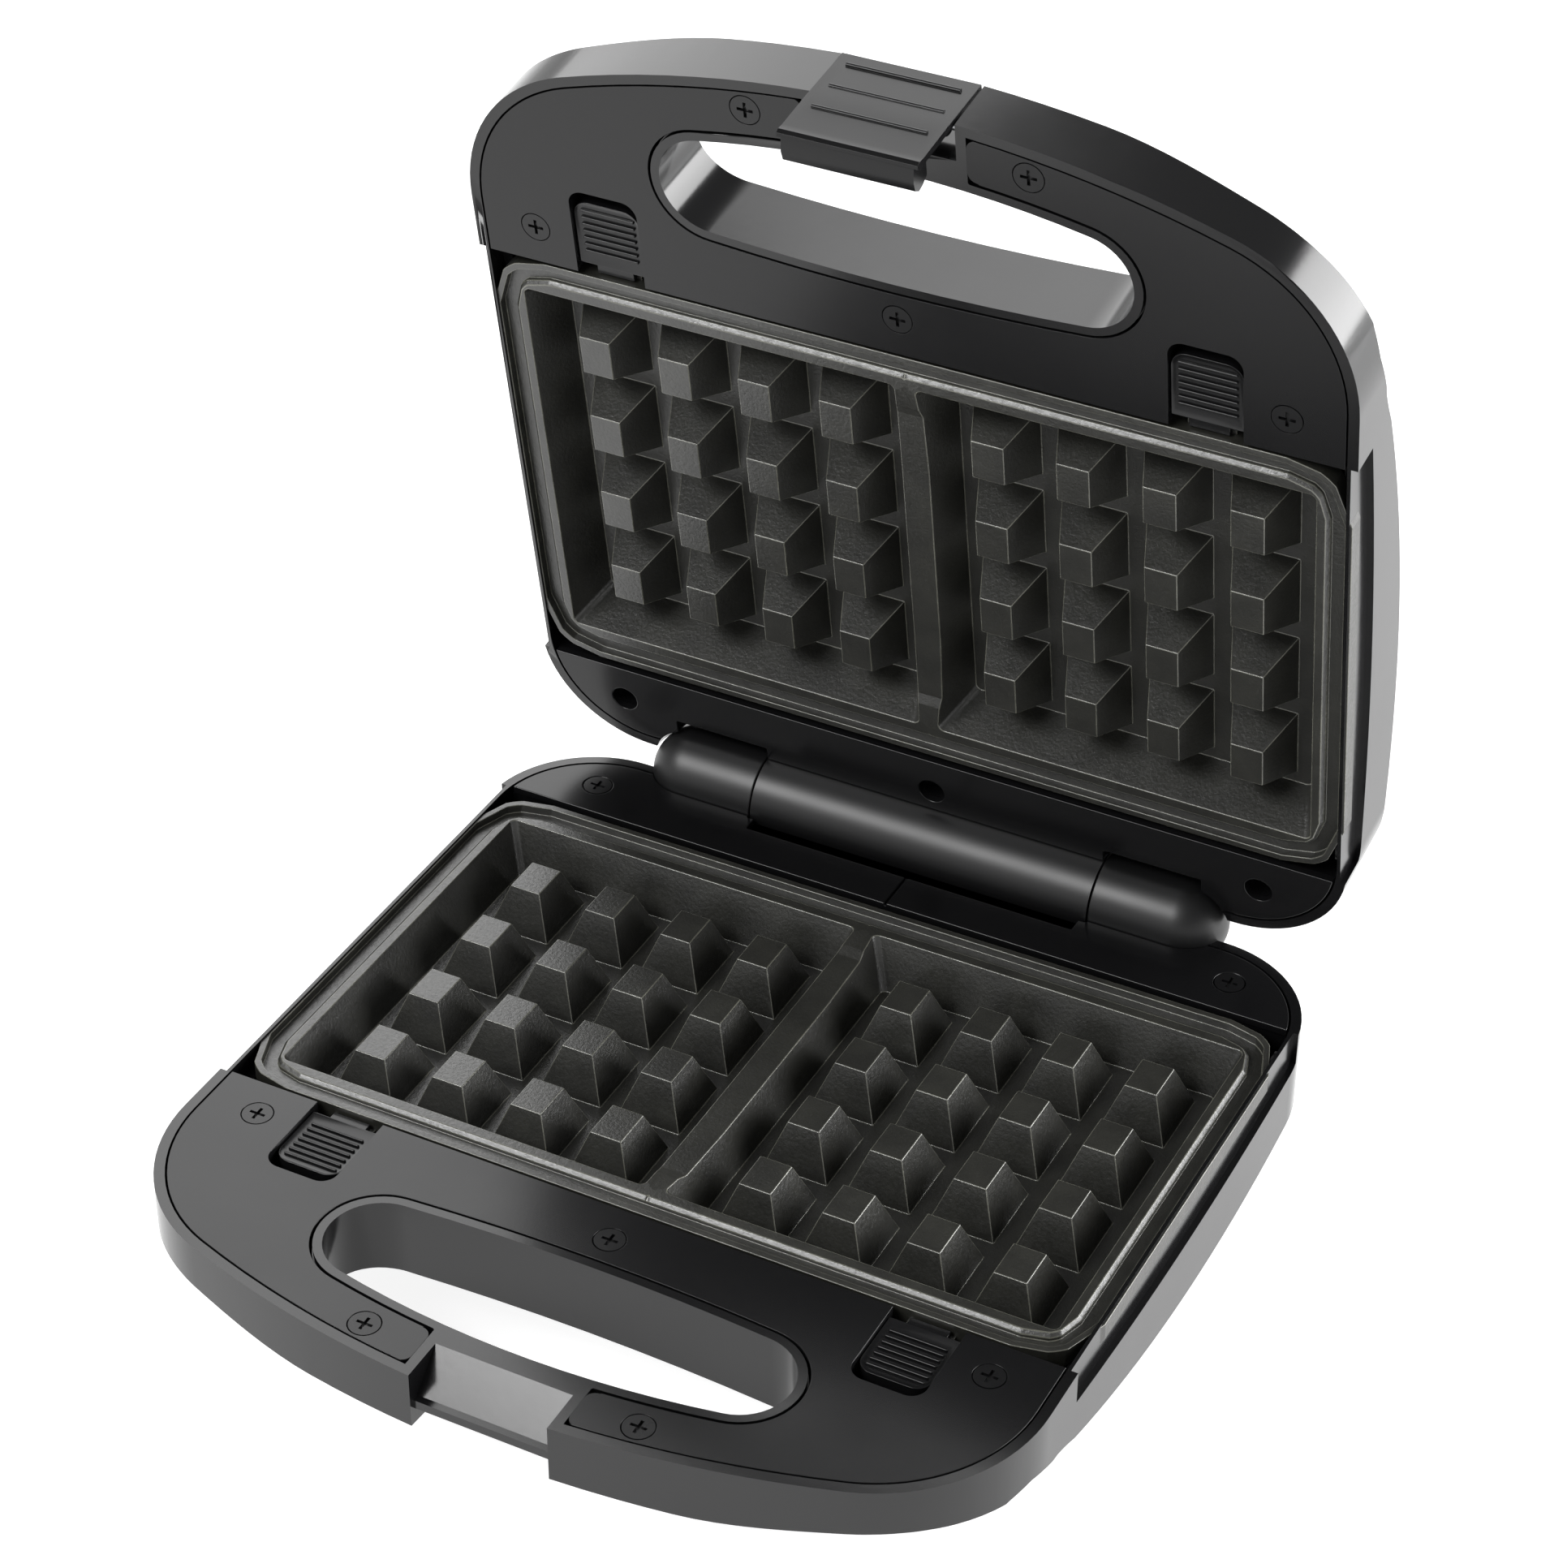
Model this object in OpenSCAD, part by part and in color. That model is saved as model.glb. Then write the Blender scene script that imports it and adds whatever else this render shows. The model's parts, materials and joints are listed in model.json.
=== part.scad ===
// Two-slice waffle maker with lift-out plates, standing open.
// Each half is drawn in its own "half" frame: Z = 0 is the parting plane, the half lies
// below it, and Y = 0 is the hinge axis with the handle towards -Y. The base is that half
// lifted onto its feet; the lid is the same half turned over and swung open.

/* [Casing] */
// Width of the casing along the hinge
casing_w = 224.6; // [215:1:280]
// Distance from the hinge axis to the front of the handle
front_reach = 230.2; // [215:1:290]
// Depth of each half from the parting plane to its outer face
half_depth = 40; // [38:1:56]
// Depth of the handle's outer wall
handle_depth = 15.3; // [14.5:0.5:22]
// Casing wall
wall = 2.6; // [2:0.1:3.2]
// Radius of the front corners in plan
front_corner_r = 43; // [35:1:50]
// Radius of the arched front edge in plan
front_arc_r = 262; // [240:1:400]
// Radius of the rear corners in plan
rear_corner_r = 29.8; // [20:1:30]
// Height of the rubber feet
foot_h = 4; // [3:0.5:8]

/* [Pose] */
// Angle between the parting faces of lid and base
open_angle = 80; // [0:1:100]

/* [Hand opening] */
// Half of the distance between the centres of its round ends
grip_half = 46.5; // [38:0.5:60]
// Radius of its round ends
grip_end_r = 12.8; // [11:0.1:15]
// Width of the handle bar in front of it
bar_w = 17.3; // [16:0.1:20]

/* [Waffle plates] */
// Distance from the hinge axis to the plate
plate_back = 30.8; // [30:0.1:34]
// Distance from the plate to the front of the handle
handle_reach = 70.9; // [70:0.1:80]
// Depth of a plate's rim below the parting plane
rim_drop = 0.7; // [0.4:0.1:1.5]
// Height of the skirt round a plate
skirt_h = 4.9; // [4:0.1:6]
// Depth of a pocket's floor below the parting plane
floor_drop = 14.3; // [12:0.1:15]
// Thickness of the casting
cast_t = 2.2; // [1.8:0.1:3]
// Distance between studs along the hinge
stud_pitch_x = 21.75; // [18:0.05:28]
// Distance between studs across
stud_pitch_y = 24.72; // [21:0.05:30]
// Height of a stud
stud_h = 11.7; // [9:0.1:12]
// Size of a stud's top along the hinge
stud_top_x = 8.3; // [7:0.1:9]
// Size of a stud's top across
stud_top_y = 11; // [9:0.1:12]
// How far a stud's side leans over its height
stud_slope = 4.3; // [3:0.1:4.4]
// Depth of a pocket's wall from the bead to the plate's edge
pocket_in = 8.2; // [7.8:0.1:9]
// Width of the wall between the two pockets at the parting plane
divider_w = 5; // [4:0.1:8]
// How far a pocket's wall leans over its depth
pocket_slope = 5; // [4:0.1:6]

/* [Hinge] */
// Radius of the hinge barrel
barrel_r = 11.8; // [11:0.1:13]
// Half of the length of the lid's barrel
barrel_half = 47.6; // [40:0.5:52]
// Half of the length of the whole hinge, over its round ends
hinge_half = 81; // [76:0.5:86]
// Radius of the hinge pins
pin_r = 3; // [2.5:0.1:3.5]

/* [Latch] */
// Width of the latch
latch_w = 34.6; // [30:0.2:42]
// Thickness of the latch's plate
latch_t = 1.8; // [1.6:0.1:2.2]
// Depth of the gap in the handle that the latch drops into
latch_gap_y = 10.3; // [10:0.1:11]

/* [Release buttons] */
// Distance from the middle of the casing to a button
button_x = 76; // [70:0.5:88]
// Width of a button's recess
button_w = 18.2; // [16:0.1:20]
// Length of a button's recess
button_l = 24; // [23:0.5:28]
// Travel of a button
button_travel = 3.4; // [2.5:0.1:4]

/* [Clearances] */
// Gap round buttons and pins
gap = 0.3; // [0.2:0.05:0.5]
// Seam between a cover and the casing
seam = 0.5; // [0.3:0.05:0.6]
// Gap round a cover screw's head
head_gap = 0.25; // [0.1:0.05:0.4]
// Gap between a plate's end and the casing's side
plate_side = 1.2; // [1:0.1:2]
// Gap between the lid's barrel and the hinge knuckles
barrel_gap = 0.4; // [0.3:0.1:0.8]
// Radial running clearance of a pin
run = 0.05; // [0.03:0.01:0.1]

/* [Hidden] */
$fn = 96;

black = "#1b1c1d";
coating = "#34342e";
steel = "#9a9c9e";
part_gap = 0.15;                            // each cover lies this far below the parting plane
hw = casing_w / 2;
big = 400;
// plan of the casing
corner_x = hw - front_corner_r;
arc_cy = front_arc_r - front_reach;
corner_y = arc_cy - sqrt(pow(front_arc_r - front_corner_r, 2) - pow(corner_x, 2));
rear_y = -4.1;
rear_cx = hw - rear_corner_r;
rear_cy = rear_y - rear_corner_r;
// plan of the hand opening
grip_front_r = front_arc_r - bar_w;
grip_cy = arc_cy - sqrt(pow(grip_front_r - grip_end_r, 2) - pow(grip_half, 2));
grip_back_r = 600;
grip_back_cy = grip_cy - sqrt(pow(grip_back_r - grip_end_r, 2) - pow(grip_half, 2));
grip_back = grip_cy + grip_end_r;
// plates
plate_l = casing_w - 2 * plate_side;
plate_w = front_reach - plate_back - handle_reach;
plate_cy = -plate_back - plate_w / 2;
cover_back = -plate_back - plate_w - 1.3;   // rear edge of the front cover
rear_cover_front = -plate_back + 1.8;       // front edge of the rear cover
cover_t = 2.2;
cover_under = -part_gap - cover_t;          // underside of the covers
swell_start = cover_back - 20;              // where the casing starts to swell below the handle
swell_l = 70;
corner_rise = 5.2;                          // how much shallower the handle is at its corners
grip_slope = 6.3;                           // slope of the handle's underside, in degrees
side_rise = 9.5;                            // how much shallower the body is at its sides
belly_y = plate_cy + 9;
belly_r = pow(belly_y - cover_back + 16, 2) / (2 * (half_depth - side_rise - handle_depth));
side_tilt = 40;                             // slope of the trimmed edge across, in degrees
ledge_z = -rim_drop - skirt_h;              // what the plate's skirt rests on
pan_z = -floor_drop - cast_t;               // underside of a plate
bead_drop = 1.2;
divider_drop = 4;
pocket_l = (plate_l - 2 * pocket_in - divider_w) / 2;
pocket_w = plate_w - 2 * pocket_in - 0.6;
pocket_cx = (divider_w + pocket_l) / 2;
floor_l = pocket_l - 2 * pocket_slope;
floor_w = pocket_w - 2 * pocket_slope - 1;
studs_x = floor(floor_l / stud_pitch_x);    // studs along a pocket
studs_y = floor(floor_w / stud_pitch_y);    // studs across a pocket
pan_in = 6.6;                               // from the plate's edge to the pan below it
tab_x = 70;                                 // tabs under the rear cover
recess_wall = 1.4;                          // wall round a button's recess
// release springs
spring_y = cover_back - button_l - 3.4;     // face of the post that a spring pushes on
spring_z = -10.6;
// terminal block and the entry of the mains lead
block_y = -plate_back - 26;                 // front face of the terminal block
cord_x = 60;
cord_z = -22.6;
cord_bore = 3.6;
bush_r = 6;
// heater and reflector
heater_r = 3.3;
heater_z = pan_z - heater_r - 0.6;
tray_t = 0.8;
tray_z = heater_z - heater_r - 1.4;         // underside of the reflector
tray_h = pan_z - tray_z - 0.8;
tray_l = plate_l - 14.4;
tray_w = plate_w - 29;
tray_cy = plate_cy + 7;
heater_x = plate_l / 2 - 30;
heater_y = plate_w / 2 - 30.25;
heater_bend = 16;
// hinge
trough_r = barrel_r + 0.8;
pin_in = 14;                                // length of a pin in the barrel and in a knuckle
wire_x = 10;                                // where the lid's wires enter its barrel
wire_y = -8;
wire_hole = 1.7;
hinge_z = foot_h + half_depth;
hinge_y = (front_reach - half_depth * sin(open_angle) + 3.8) / 2;
// latch, in the half frame of the lid
latch_y = -front_reach - 0.4;                // outer face of the latch
latch_bay = latch_w / 2 + 2.7;              // half of the gap that the front covers leave for it
catch_y = latch_y + latch_t + 0.3;          // front face of the lip that the hook grips
latch_pin_y = -front_reach + 5.4;
latch_pin_z = -6.5;
latch_pin_r = 1.5;
bar_under = 10.8;                           // depth of the bar's underside behind the latch
// screws
screw_r = 3.7;
cover_end_r = 2.6;                          // round corners of the cover beside the latch
front_screws = [[-hw + 16.9, cover_back - 10.2], [hw - 16.9, cover_back - 10.2],
    [0, cover_back - 10.2], [-34.8, -front_reach + 10.2], [34.8, -front_reach + 10.2]];
rear_screw_x = hw - 23;
rear_screw_y = -18.3;
post_x = plate_l / 2 - 21;
posts = [for (x = [-post_x, post_x], y = [-22, 22]) [x, plate_cy + y]];
deep_head = 1.8;                            // head of the lid's deep rear screws
deep_z = -6.5;
deep_hole = 3.6;
foot_x = hw - 34;
feet_y = [cover_back + 40, -28];
// lamps
lens_r = 4;
lens_xs = [-9, 9];
lens_y = cover_back + 74;

function smooth(t) = let (u = min(max(t, 0), 1)) u * u * (3 - 2 * u);
// depth of the body along its length, down to the rounded rear
function body_depth(y) = handle_depth
    + (half_depth - handle_depth) * smooth((y - swell_start) / swell_l)
    - 8 * pow(max(y + 40, 0) / 36, 2);
// depth across the width: the handle rises towards its corners, and the body's sides are round
function grip_across(x) = handle_depth - corner_rise * smooth((abs(x) - hw + 66) / 54);
function body_across(x) = half_depth
    - 9 * (1 - sqrt(max(1 - pow(max(abs(x) - hw + 28, 0) / 28, 2), 0)));

// depth of the long sides' lower edge: an arc, deepest beside the plate
function side_depth(y) = max(half_depth - side_rise - pow(y - belly_y, 2) / (2 * belly_r),
    handle_depth - corner_rise + 2);

module at_base() { translate([0, hinge_y, hinge_z]) children(); }
module at_lid() { at_base() rotate([-open_angle, 0, 0]) rotate([0, 180, 0]) children(); }

// --- casing outline ---------------------------------------------------------------------

// Plan of the casing, moved inwards by d
module plan(d = 0) {
    r = front_corner_r - d;
    arc = front_arc_r - d;
    tangent_x = corner_x * arc / (front_arc_r - front_corner_r);
    for (s = [-1, 1]) translate([s * corner_x, corner_y]) circle(r);
    for (s = [-1, 1]) translate([s * rear_cx, rear_cy]) circle(rear_corner_r - d);
    translate([-hw + d, corner_y]) square([2 * (hw - d), rear_cy - corner_y]);
    translate([-rear_cx, rear_cy - 1]) square([2 * rear_cx, rear_corner_r - d + 1]);
    intersection() {
        translate([0, arc_cy]) circle(arc, $fn = 360);
        translate([-tangent_x, -front_reach - 5]) square([2 * tangent_x, corner_y + front_reach + 6]);
    }
}

// Plan of the hand opening, grown by d
module grip_plan(d = 0) {
    front_x = grip_half * (grip_front_r + d) / (grip_front_r - grip_end_r);
    back_x = grip_half * (grip_back_r + d) / (grip_back_r - grip_end_r);
    for (s = [-1, 1]) translate([s * grip_half, grip_cy]) circle(grip_end_r + d);
    intersection() {
        translate([0, arc_cy]) circle(grip_front_r + d, $fn = 360);
        translate([-front_x, grip_cy - 30]) square([2 * front_x, 30.5]);
    }
    intersection() {
        translate([0, grip_back_cy]) circle(grip_back_r + d, $fn = 720);
        translate([-back_x, grip_cy]) square([2 * back_x, 30]);
    }
}

// Solid between z = top and a depth that follows a function along Y, across the full width
module depth_along(ys, depths, top) {
    n = len(ys);
    rotate([90, 0, 90]) translate([0, 0, -hw - 2]) linear_extrude(casing_w + 4)
        polygon(concat([for (i = [0:n - 1]) [ys[i], -depths[i]]],
            [[ys[n - 1], top], [ys[0], top]]));
}

module depth_across(xs, depths, y0, y1, top) {
    n = len(xs);
    translate([0, y1, 0]) rotate([90, 0, 0]) linear_extrude(y1 - y0)
        polygon(concat([for (i = [0:n - 1]) [xs[i], -depths[i]]],
            [[xs[n - 1], top], [xs[0], top]]));
}

// What the right side's lower edge loses: a prism below the side's arc, leaning inwards
module side_trim(d) {
    y0 = -front_reach - 4;
    ys = [for (i = [0:32]) y0 * (1 - i / 32)];
    translate([hw, 0, 0]) rotate([0, -side_tilt, 0]) rotate([90, 0, 90])
        translate([0, 0, -2 * half_depth]) linear_extrude(2 * half_depth + 12)
            polygon(concat([for (y = ys) [y, d - side_depth(y) * cos(side_tilt)]],
                [[0, -3 * half_depth], [y0, -3 * half_depth]]));
}

// The half casing as a solid: d moves every wall inwards
module half_solid(d = 0, top = -part_gap) {
    difference() {
        untrimmed_half(d, top);
        for (s = [0, 1]) mirror([s, 0, 0]) side_trim(d);
    }
}

module untrimmed_half(d, top) {
    y_grip = cover_back + 26;
    body_ys = concat([for (i = [0:22]) swell_start + swell_l * i / 22],
        [for (i = [0:9]) -40 + 36 * i / 9]);
    grip_xs = concat([for (i = [14:-1:0]) -hw + 66 - 66 * i / 14], [for (i = [0:14]) hw - 66 + 66 * i / 14]);
    body_xs = concat([for (i = [12:-1:0]) -hw + 28 - 28 * sin(90 * i / 12)],
        [for (i = [0:12]) hw - 28 + 28 * sin(90 * i / 12)]);
    inner = (hw - 0.99 * d) / hw;
    intersection() {
        translate([0, 0, -big / 4]) linear_extrude(big / 4 + top) plan(d);
        union() {
            translate([0, -front_reach, 0]) rotate([-grip_slope, 0, 0])
                depth_across(grip_xs, [for (x = grip_xs) grip_across(x) - d], -6, y_grip + front_reach, 30);
            intersection() {
                depth_along(body_ys, [for (y = body_ys) body_depth(y) - d], top);
                depth_across(body_xs * inner, [for (x = body_xs) body_across(x) - d], swell_start, 0, top);
            }
        }
    }
}

// Rounded rectangle centred on the plate
module plate_plan(l, w, r) {
    translate([0, plate_cy]) {
        for (x = [-1, 1], y = [-1, 1]) translate([x * (l / 2 - r), y * (w / 2 - r)]) circle(r);
        square([l - 2 * r, w], center = true);
        square([l, w - 2 * r], center = true);
    }
}

// Box given by its lowest and highest corners
module block(a, b) { translate(a) cube(b - a); }

// Cylinder along X
module rod_x(r, x0, x1) { translate([x0, 0, 0]) rotate([0, 90, 0]) cylinder(r = r, h = x1 - x0); }

// Recess of a release button in plan, open towards the plate
module button_plan(grow = 0) {
    w = button_w / 2 + grow;
    front = cover_back - button_l - grow;
    r = 4;
    for (s = [-1, 1]) translate([s * (w - r), front + r]) circle(r);
    translate([-w + r, front]) square([2 * (w - r), r + 1]);
    translate([-w, front + r]) square([2 * w, button_l + grow - r + 3]);
}

// --- the two shells ---------------------------------------------------------------------

// Clearance for a hinge knuckle with a round end, side s
module knuckle_space(s) {
    mirror([s < 0 ? 1 : 0, 0, 0]) {
        rod_x(trough_r, barrel_half, hinge_half - barrel_r);
        translate([hinge_half - barrel_r, 0, 0]) sphere(trough_r);
        slope(-15.7, barrel_half, hinge_half - 7);
        block([barrel_half, 0, -trough_r], [hinge_half + 0.8, 20, 5]);
    }
}

module shell(is_lid) {
    side_drop = 6.4;
    side_bow = 3.6;
    slot_t = 1.7;
    slot_y0 = cover_back - 0.4;
    slot_y1 = rear_cover_front - 0.4;
    slot_l = slot_y1 - slot_y0;
    bow_r = (pow(slot_l / 2, 2) + pow(side_bow, 2)) / (2 * side_bow);
    difference() {
        union() {
            difference() {
                half_solid();
                difference() {
                    half_solid(wall, 1);
                    // ring round the hand opening and the solid bar at the latch
                    translate([0, 0, -big / 4]) linear_extrude(big / 4 + 2) grip_plan(2.4);
                    block([-latch_bay, -front_reach - 5, -big / 4],
                        [latch_bay, -front_reach + bar_w + 2, 2]);
                }
                // seat for the covers
                translate([0, 0, cover_under]) linear_extrude(5) difference() {
                    intersection() { plan(wall - 0.001); square([big, big * 2], center = true); }
                    grip_plan(2.2);
                    translate([-latch_bay - gap, -front_reach - 5])
                        square([2 * (latch_bay + gap), bar_w + 6]);
                }
            }
            intersection() {
                half_solid(0.5);
                union() {
                    ledges();
                    bosses();
                    // saddle along the hinge
                    block([-hinge_half, -19, -15.5], [hinge_half, rear_y - 0.6, cover_under]);
                }
            }
            if (!is_lid) for (x = [-foot_x, foot_x], y = feet_y) translate([x, y, -half_depth])
                cylinder(r = 9.5, h = 11);
        }
        translate([0, 0, -big / 4]) linear_extrude(big / 2) grip_plan();
        // side slots beside the plate
        for (s = [-1, 1]) translate([s * hw, 0, 0]) difference() {
            block([s > 0 ? -slot_t : -2, slot_y0, -side_drop - side_bow - 2.6],
                [s > 0 ? 2 : slot_t, slot_y1, 1]);
            translate([0, (slot_y0 + slot_y1) / 2, -side_drop - side_bow - 2.6 + bow_r])
                rotate([0, 90, 0]) difference() {
                    translate([0, 0, -9]) cylinder(r = bow_r + 40, h = 18, $fn = 360);
                    translate([0, 0, -10]) cylinder(r = bow_r, h = 20, $fn = 360);
                }
        }
        if (is_lid) lid_cuts(); else base_cuts();
    }
}

// Inner ledges that carry the plate, and ribs under the covers' edges
module ledges() {
    for (s = [0, 1]) mirror([s, 0, 0])
        block([hw - 5.2, cover_back + 1.6, -20], [hw - 1.7, -plate_back - 0.6, ledge_z]);
    difference() {
        for (y = [cover_back - 2, rear_cover_front + 0.4])
            block([-hw + 1, y, -half_depth], [hw - 1, y + 1.6, cover_under]);
        // room for the buttons, their lugs and the plate's rear tabs
        room = button_w / 2 + recess_wall + gap;
        for (s = [-1, 1]) {
            translate([s * button_x, cover_back, 0]) block([-room, -4, -13.5], [room, 2, 0]);
            translate([s * tab_x, -plate_back, 0]) block([-8, 0, ledge_z - 0.4], [8, 6, 0]);
        }
        // gaps for the wires
        for (x = [-wire_x, wire_x, cord_x])
            block([x - 4, rear_cover_front, -half_depth + wall], [x + 4, rear_cover_front + 3, -17]);
    }
}

// Posts for the cover screws, the reflector and the release springs
module bosses() {
    for (p = front_screws) translate([p[0], p[1], -half_depth])
        cylinder(r = 4.2, h = half_depth + cover_under);
    for (s = [-1, 1]) translate([s * rear_screw_x, rear_screw_y, -half_depth])
        cylinder(r = 4.2, h = half_depth + cover_under);
    for (p = posts) translate([p[0], p[1], -half_depth]) cylinder(r = 4, h = half_depth + tray_z);
    for (s = [-1, 1]) translate([s * button_x, spring_y - 3, -half_depth])
        block([-4, 0, 0], [4, 3, half_depth - 7.9]);
}

// Trough that the lid's barrel turns in, with a sloping front
module barrel_space() {
    w = barrel_half + barrel_gap;
    rod_x(trough_r, -w, w);
    slope(-17, -w + 2, w - 2);
    block([-w, 0, -trough_r], [w, 5, 5]);
}

module slope(y, x0, x1) {
    rotate([90, 0, 90]) translate([0, 0, x0]) linear_extrude(x1 - x0)
        polygon([[y, 1], [y, -part_gap], [-9, -8.6], [0, -8.6], [0, 1]]);
}

module base_cuts() {
    barrel_space();
    for (s = [0, 1]) mirror([s, 0, 0]) {
        rod_x(barrel_r, barrel_half, hinge_half - barrel_r);
        translate([hinge_half - barrel_r, 0, 0]) sphere(barrel_r);
    }
    latch_notch();
    for (p = front_screws) translate([p[0], p[1], -16]) cylinder(r = 1.3, h = 20);
    for (s = [-1, 1]) translate([s * rear_screw_x, rear_screw_y, -16]) cylinder(r = 1.3, h = 20);
    for (p = posts) translate([p[0], p[1], tray_z - 9]) cylinder(r = 1.3, h = 20);
    for (x = [-foot_x, foot_x], y = feet_y) translate([x, y, -half_depth - 1]) cylinder(r = 3.1, h = 8);
    // hole for the mains lead's bush in the rear wall
    translate([cord_x, 0, cord_z]) rotate([90, 0, 0]) cylinder(r = bush_r, h = 12);
}

// Where the latch's hook grips the base: a sloping floor, a lip and a relieved underside
module latch_notch() {
    w = latch_w / 2 + 0.2;
    y = -front_reach;
    rotate([90, 0, 90]) translate([0, 0, -w]) linear_extrude(2 * w) {
        polygon([[y + 12, 1], [y + 12, -part_gap], [catch_y + 1.8, -8.5], [catch_y, -8.5],
            [catch_y, -30], [y - 5, -30], [y - 5, 1]]);
        polygon([[y - 5, -bar_under], [y + 11.4, -bar_under], [y + 11.4, -30], [y - 5, -30]]);
    }
}

module lid_cuts() {
    for (s = [-1, 1]) knuckle_space(s);
    rod_x(barrel_r, -barrel_half, barrel_half);
    w = latch_w / 2 + 0.2;
    block([-w, -front_reach - 5, -30], [w, -front_reach + latch_gap_y, 2]);
    translate([0, latch_pin_y, latch_pin_z]) rod_x(latch_pin_r, -w - 4, w + 4);
    for (p = front_screws) translate([p[0], p[1], -12]) cylinder(r = 1.3, h = 20);
    for (s = [-1, 0, 1]) translate([s * rear_screw_x, rear_screw_y, 0]) {
        translate([0, 0, -14]) cylinder(r = 1.3, h = 20);
        translate([0, 0, deep_z - deep_head]) cylinder(r = deep_hole, h = 20);
    }
    for (s = [-1, 1]) translate([s * wire_x, wire_y, -20]) cylinder(r = wire_hole, h = 20);
    for (p = posts) translate([p[0], p[1], tray_z - 9]) cylinder(r = 1.3, h = 20);
    for (x = lens_xs) translate([x, lens_y, -half_depth - 1]) cylinder(r = lens_r, h = 8);
}

module base_shell() { color(black) at_base() shell(false); }
module lid_shell() { color(black) at_lid() shell(true); }

// --- covers -----------------------------------------------------------------------------

// Screw heads sit flush in the covers
module screw_seats(places) {
    for (p = places) translate([p[0], p[1], 0]) {
        translate([0, 0, -1.5]) cylinder(r = screw_r + head_gap, h = 3);
        translate([0, 0, -10]) cylinder(r = 1.8, h = 12);
    }
}

// Takes the corner of a cover beside the latch away, outside a quarter circle
module cover_corner(x, y, up) {
    for (s = [0, 1]) mirror([s, 0]) translate([x, y]) mirror([0, up ? 1 : 0]) difference() {
        translate([-1, -1]) square(cover_end_r + 1);
        translate([cover_end_r, cover_end_r]) circle(cover_end_r);
    }
}

// Where the arc of radius r round the casing's arc centre meets the cover's end
function arc_y(r) = arc_cy - sqrt(r * r - latch_bay * latch_bay);

module front_cover() {
    difference() {
        translate([0, 0, cover_under]) linear_extrude(cover_t) difference() {
            intersection() {
                plan(wall + seam);
                translate([-hw, -front_reach - 5]) square([2 * hw, front_reach + 5 + cover_back]);
            }
            grip_plan(2.4 + seam);
            translate([-latch_bay, -front_reach - 5]) square([2 * latch_bay, bar_w + 5 + 3]);
            cover_corner(latch_bay, arc_y(front_arc_r - wall - seam), false);
            cover_corner(latch_bay, arc_y(grip_front_r + 2.4 + seam), true);
            for (s = [-1, 1]) translate([s * button_x, 0]) button_plan();
        }
        screw_seats(front_screws);
    }
    // walls of the button recesses
    for (s = [-1, 1]) translate([s * button_x, 0, -8]) linear_extrude(8 - part_gap - 0.4)
        difference() {
            intersection() {
                button_plan(recess_wall);
                translate([-20, cover_back - 40]) square([40, 40]);
            }
            button_plan();
        }
}

module base_front_cover() { color(black) at_base() front_cover(); }
module lid_front_cover() { color(black) at_lid() front_cover(); }

module rear_cover(is_lid) {
    screws = [for (s = [-1, 1]) [s * rear_screw_x, rear_screw_y]];
    difference() {
        translate([0, 0, cover_under]) linear_extrude(cover_t) intersection() {
            plan(wall + seam);
            translate([-hw, rear_cover_front]) square([2 * hw, big]);
        }
        if (is_lid) {
            for (s = [-1, 1]) knuckle_space(s);
            rod_x(barrel_r + gap / 2, -barrel_half, barrel_half);
            for (s = [-1, 0, 1]) translate([s * rear_screw_x, rear_screw_y, -9])
                cylinder(r = deep_hole, h = 12);
        } else {
            barrel_space();
            for (s = [0, 1]) mirror([s, 0, 0]) {
                rod_x(barrel_r + gap / 2, barrel_half, hinge_half - barrel_r);
                translate([hinge_half - barrel_r, 0, 0]) sphere(barrel_r + gap / 2);
            }
            screw_seats(screws);
            block([-0.3, rear_cover_front - 1, -0.9], [0.3, -trough_r - 2, 1]);
        }
    }
}

module base_rear_cover() { color(black) at_base() rear_cover(false); }
module lid_rear_cover() { color(black) at_lid() rear_cover(true); }

// --- waffle plates ----------------------------------------------------------------------

// A pocket's space, with sloping walls and rounded corners
module pocket() {
    hull() {
        translate([0, 0, -floor_drop]) linear_extrude(0.01)
            rounded(floor_l, floor_w, 3);
        translate([0, 0, 0]) linear_extrude(0.01) rounded(pocket_l + 0.9, pocket_w + 0.9, 6);
    }
}

module rounded(l, w, r) {
    for (x = [-1, 1], y = [-1, 1]) translate([x * (l / 2 - r), y * (w / 2 - r)]) circle(r, $fn = 32);
    square([l - 2 * r, w], center = true);
    square([l, w - 2 * r], center = true);
}

// Rows of studs, each a frustum: two crossed combs of tapered teeth
module studs() {
    intersection() {
        comb(studs_x, stud_pitch_x, stud_top_x, pocket_w);
        rotate([0, 0, 90]) comb(studs_y, stud_pitch_y, stud_top_y, pocket_l);
    }
}

module comb(n, pitch, top, length) {
    for (i = [0:n - 1]) translate([(i - (n - 1) / 2) * pitch, length / 2, -floor_drop])
        rotate([90, 0, 0]) linear_extrude(length)
            polygon([[-top / 2 - stud_slope, -0.5], [top / 2 + stud_slope, -0.5],
                [top / 2 + stud_slope, 0], [top / 2, stud_h], [-top / 2, stud_h],
                [-top / 2 - stud_slope, 0]]);
}

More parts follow.
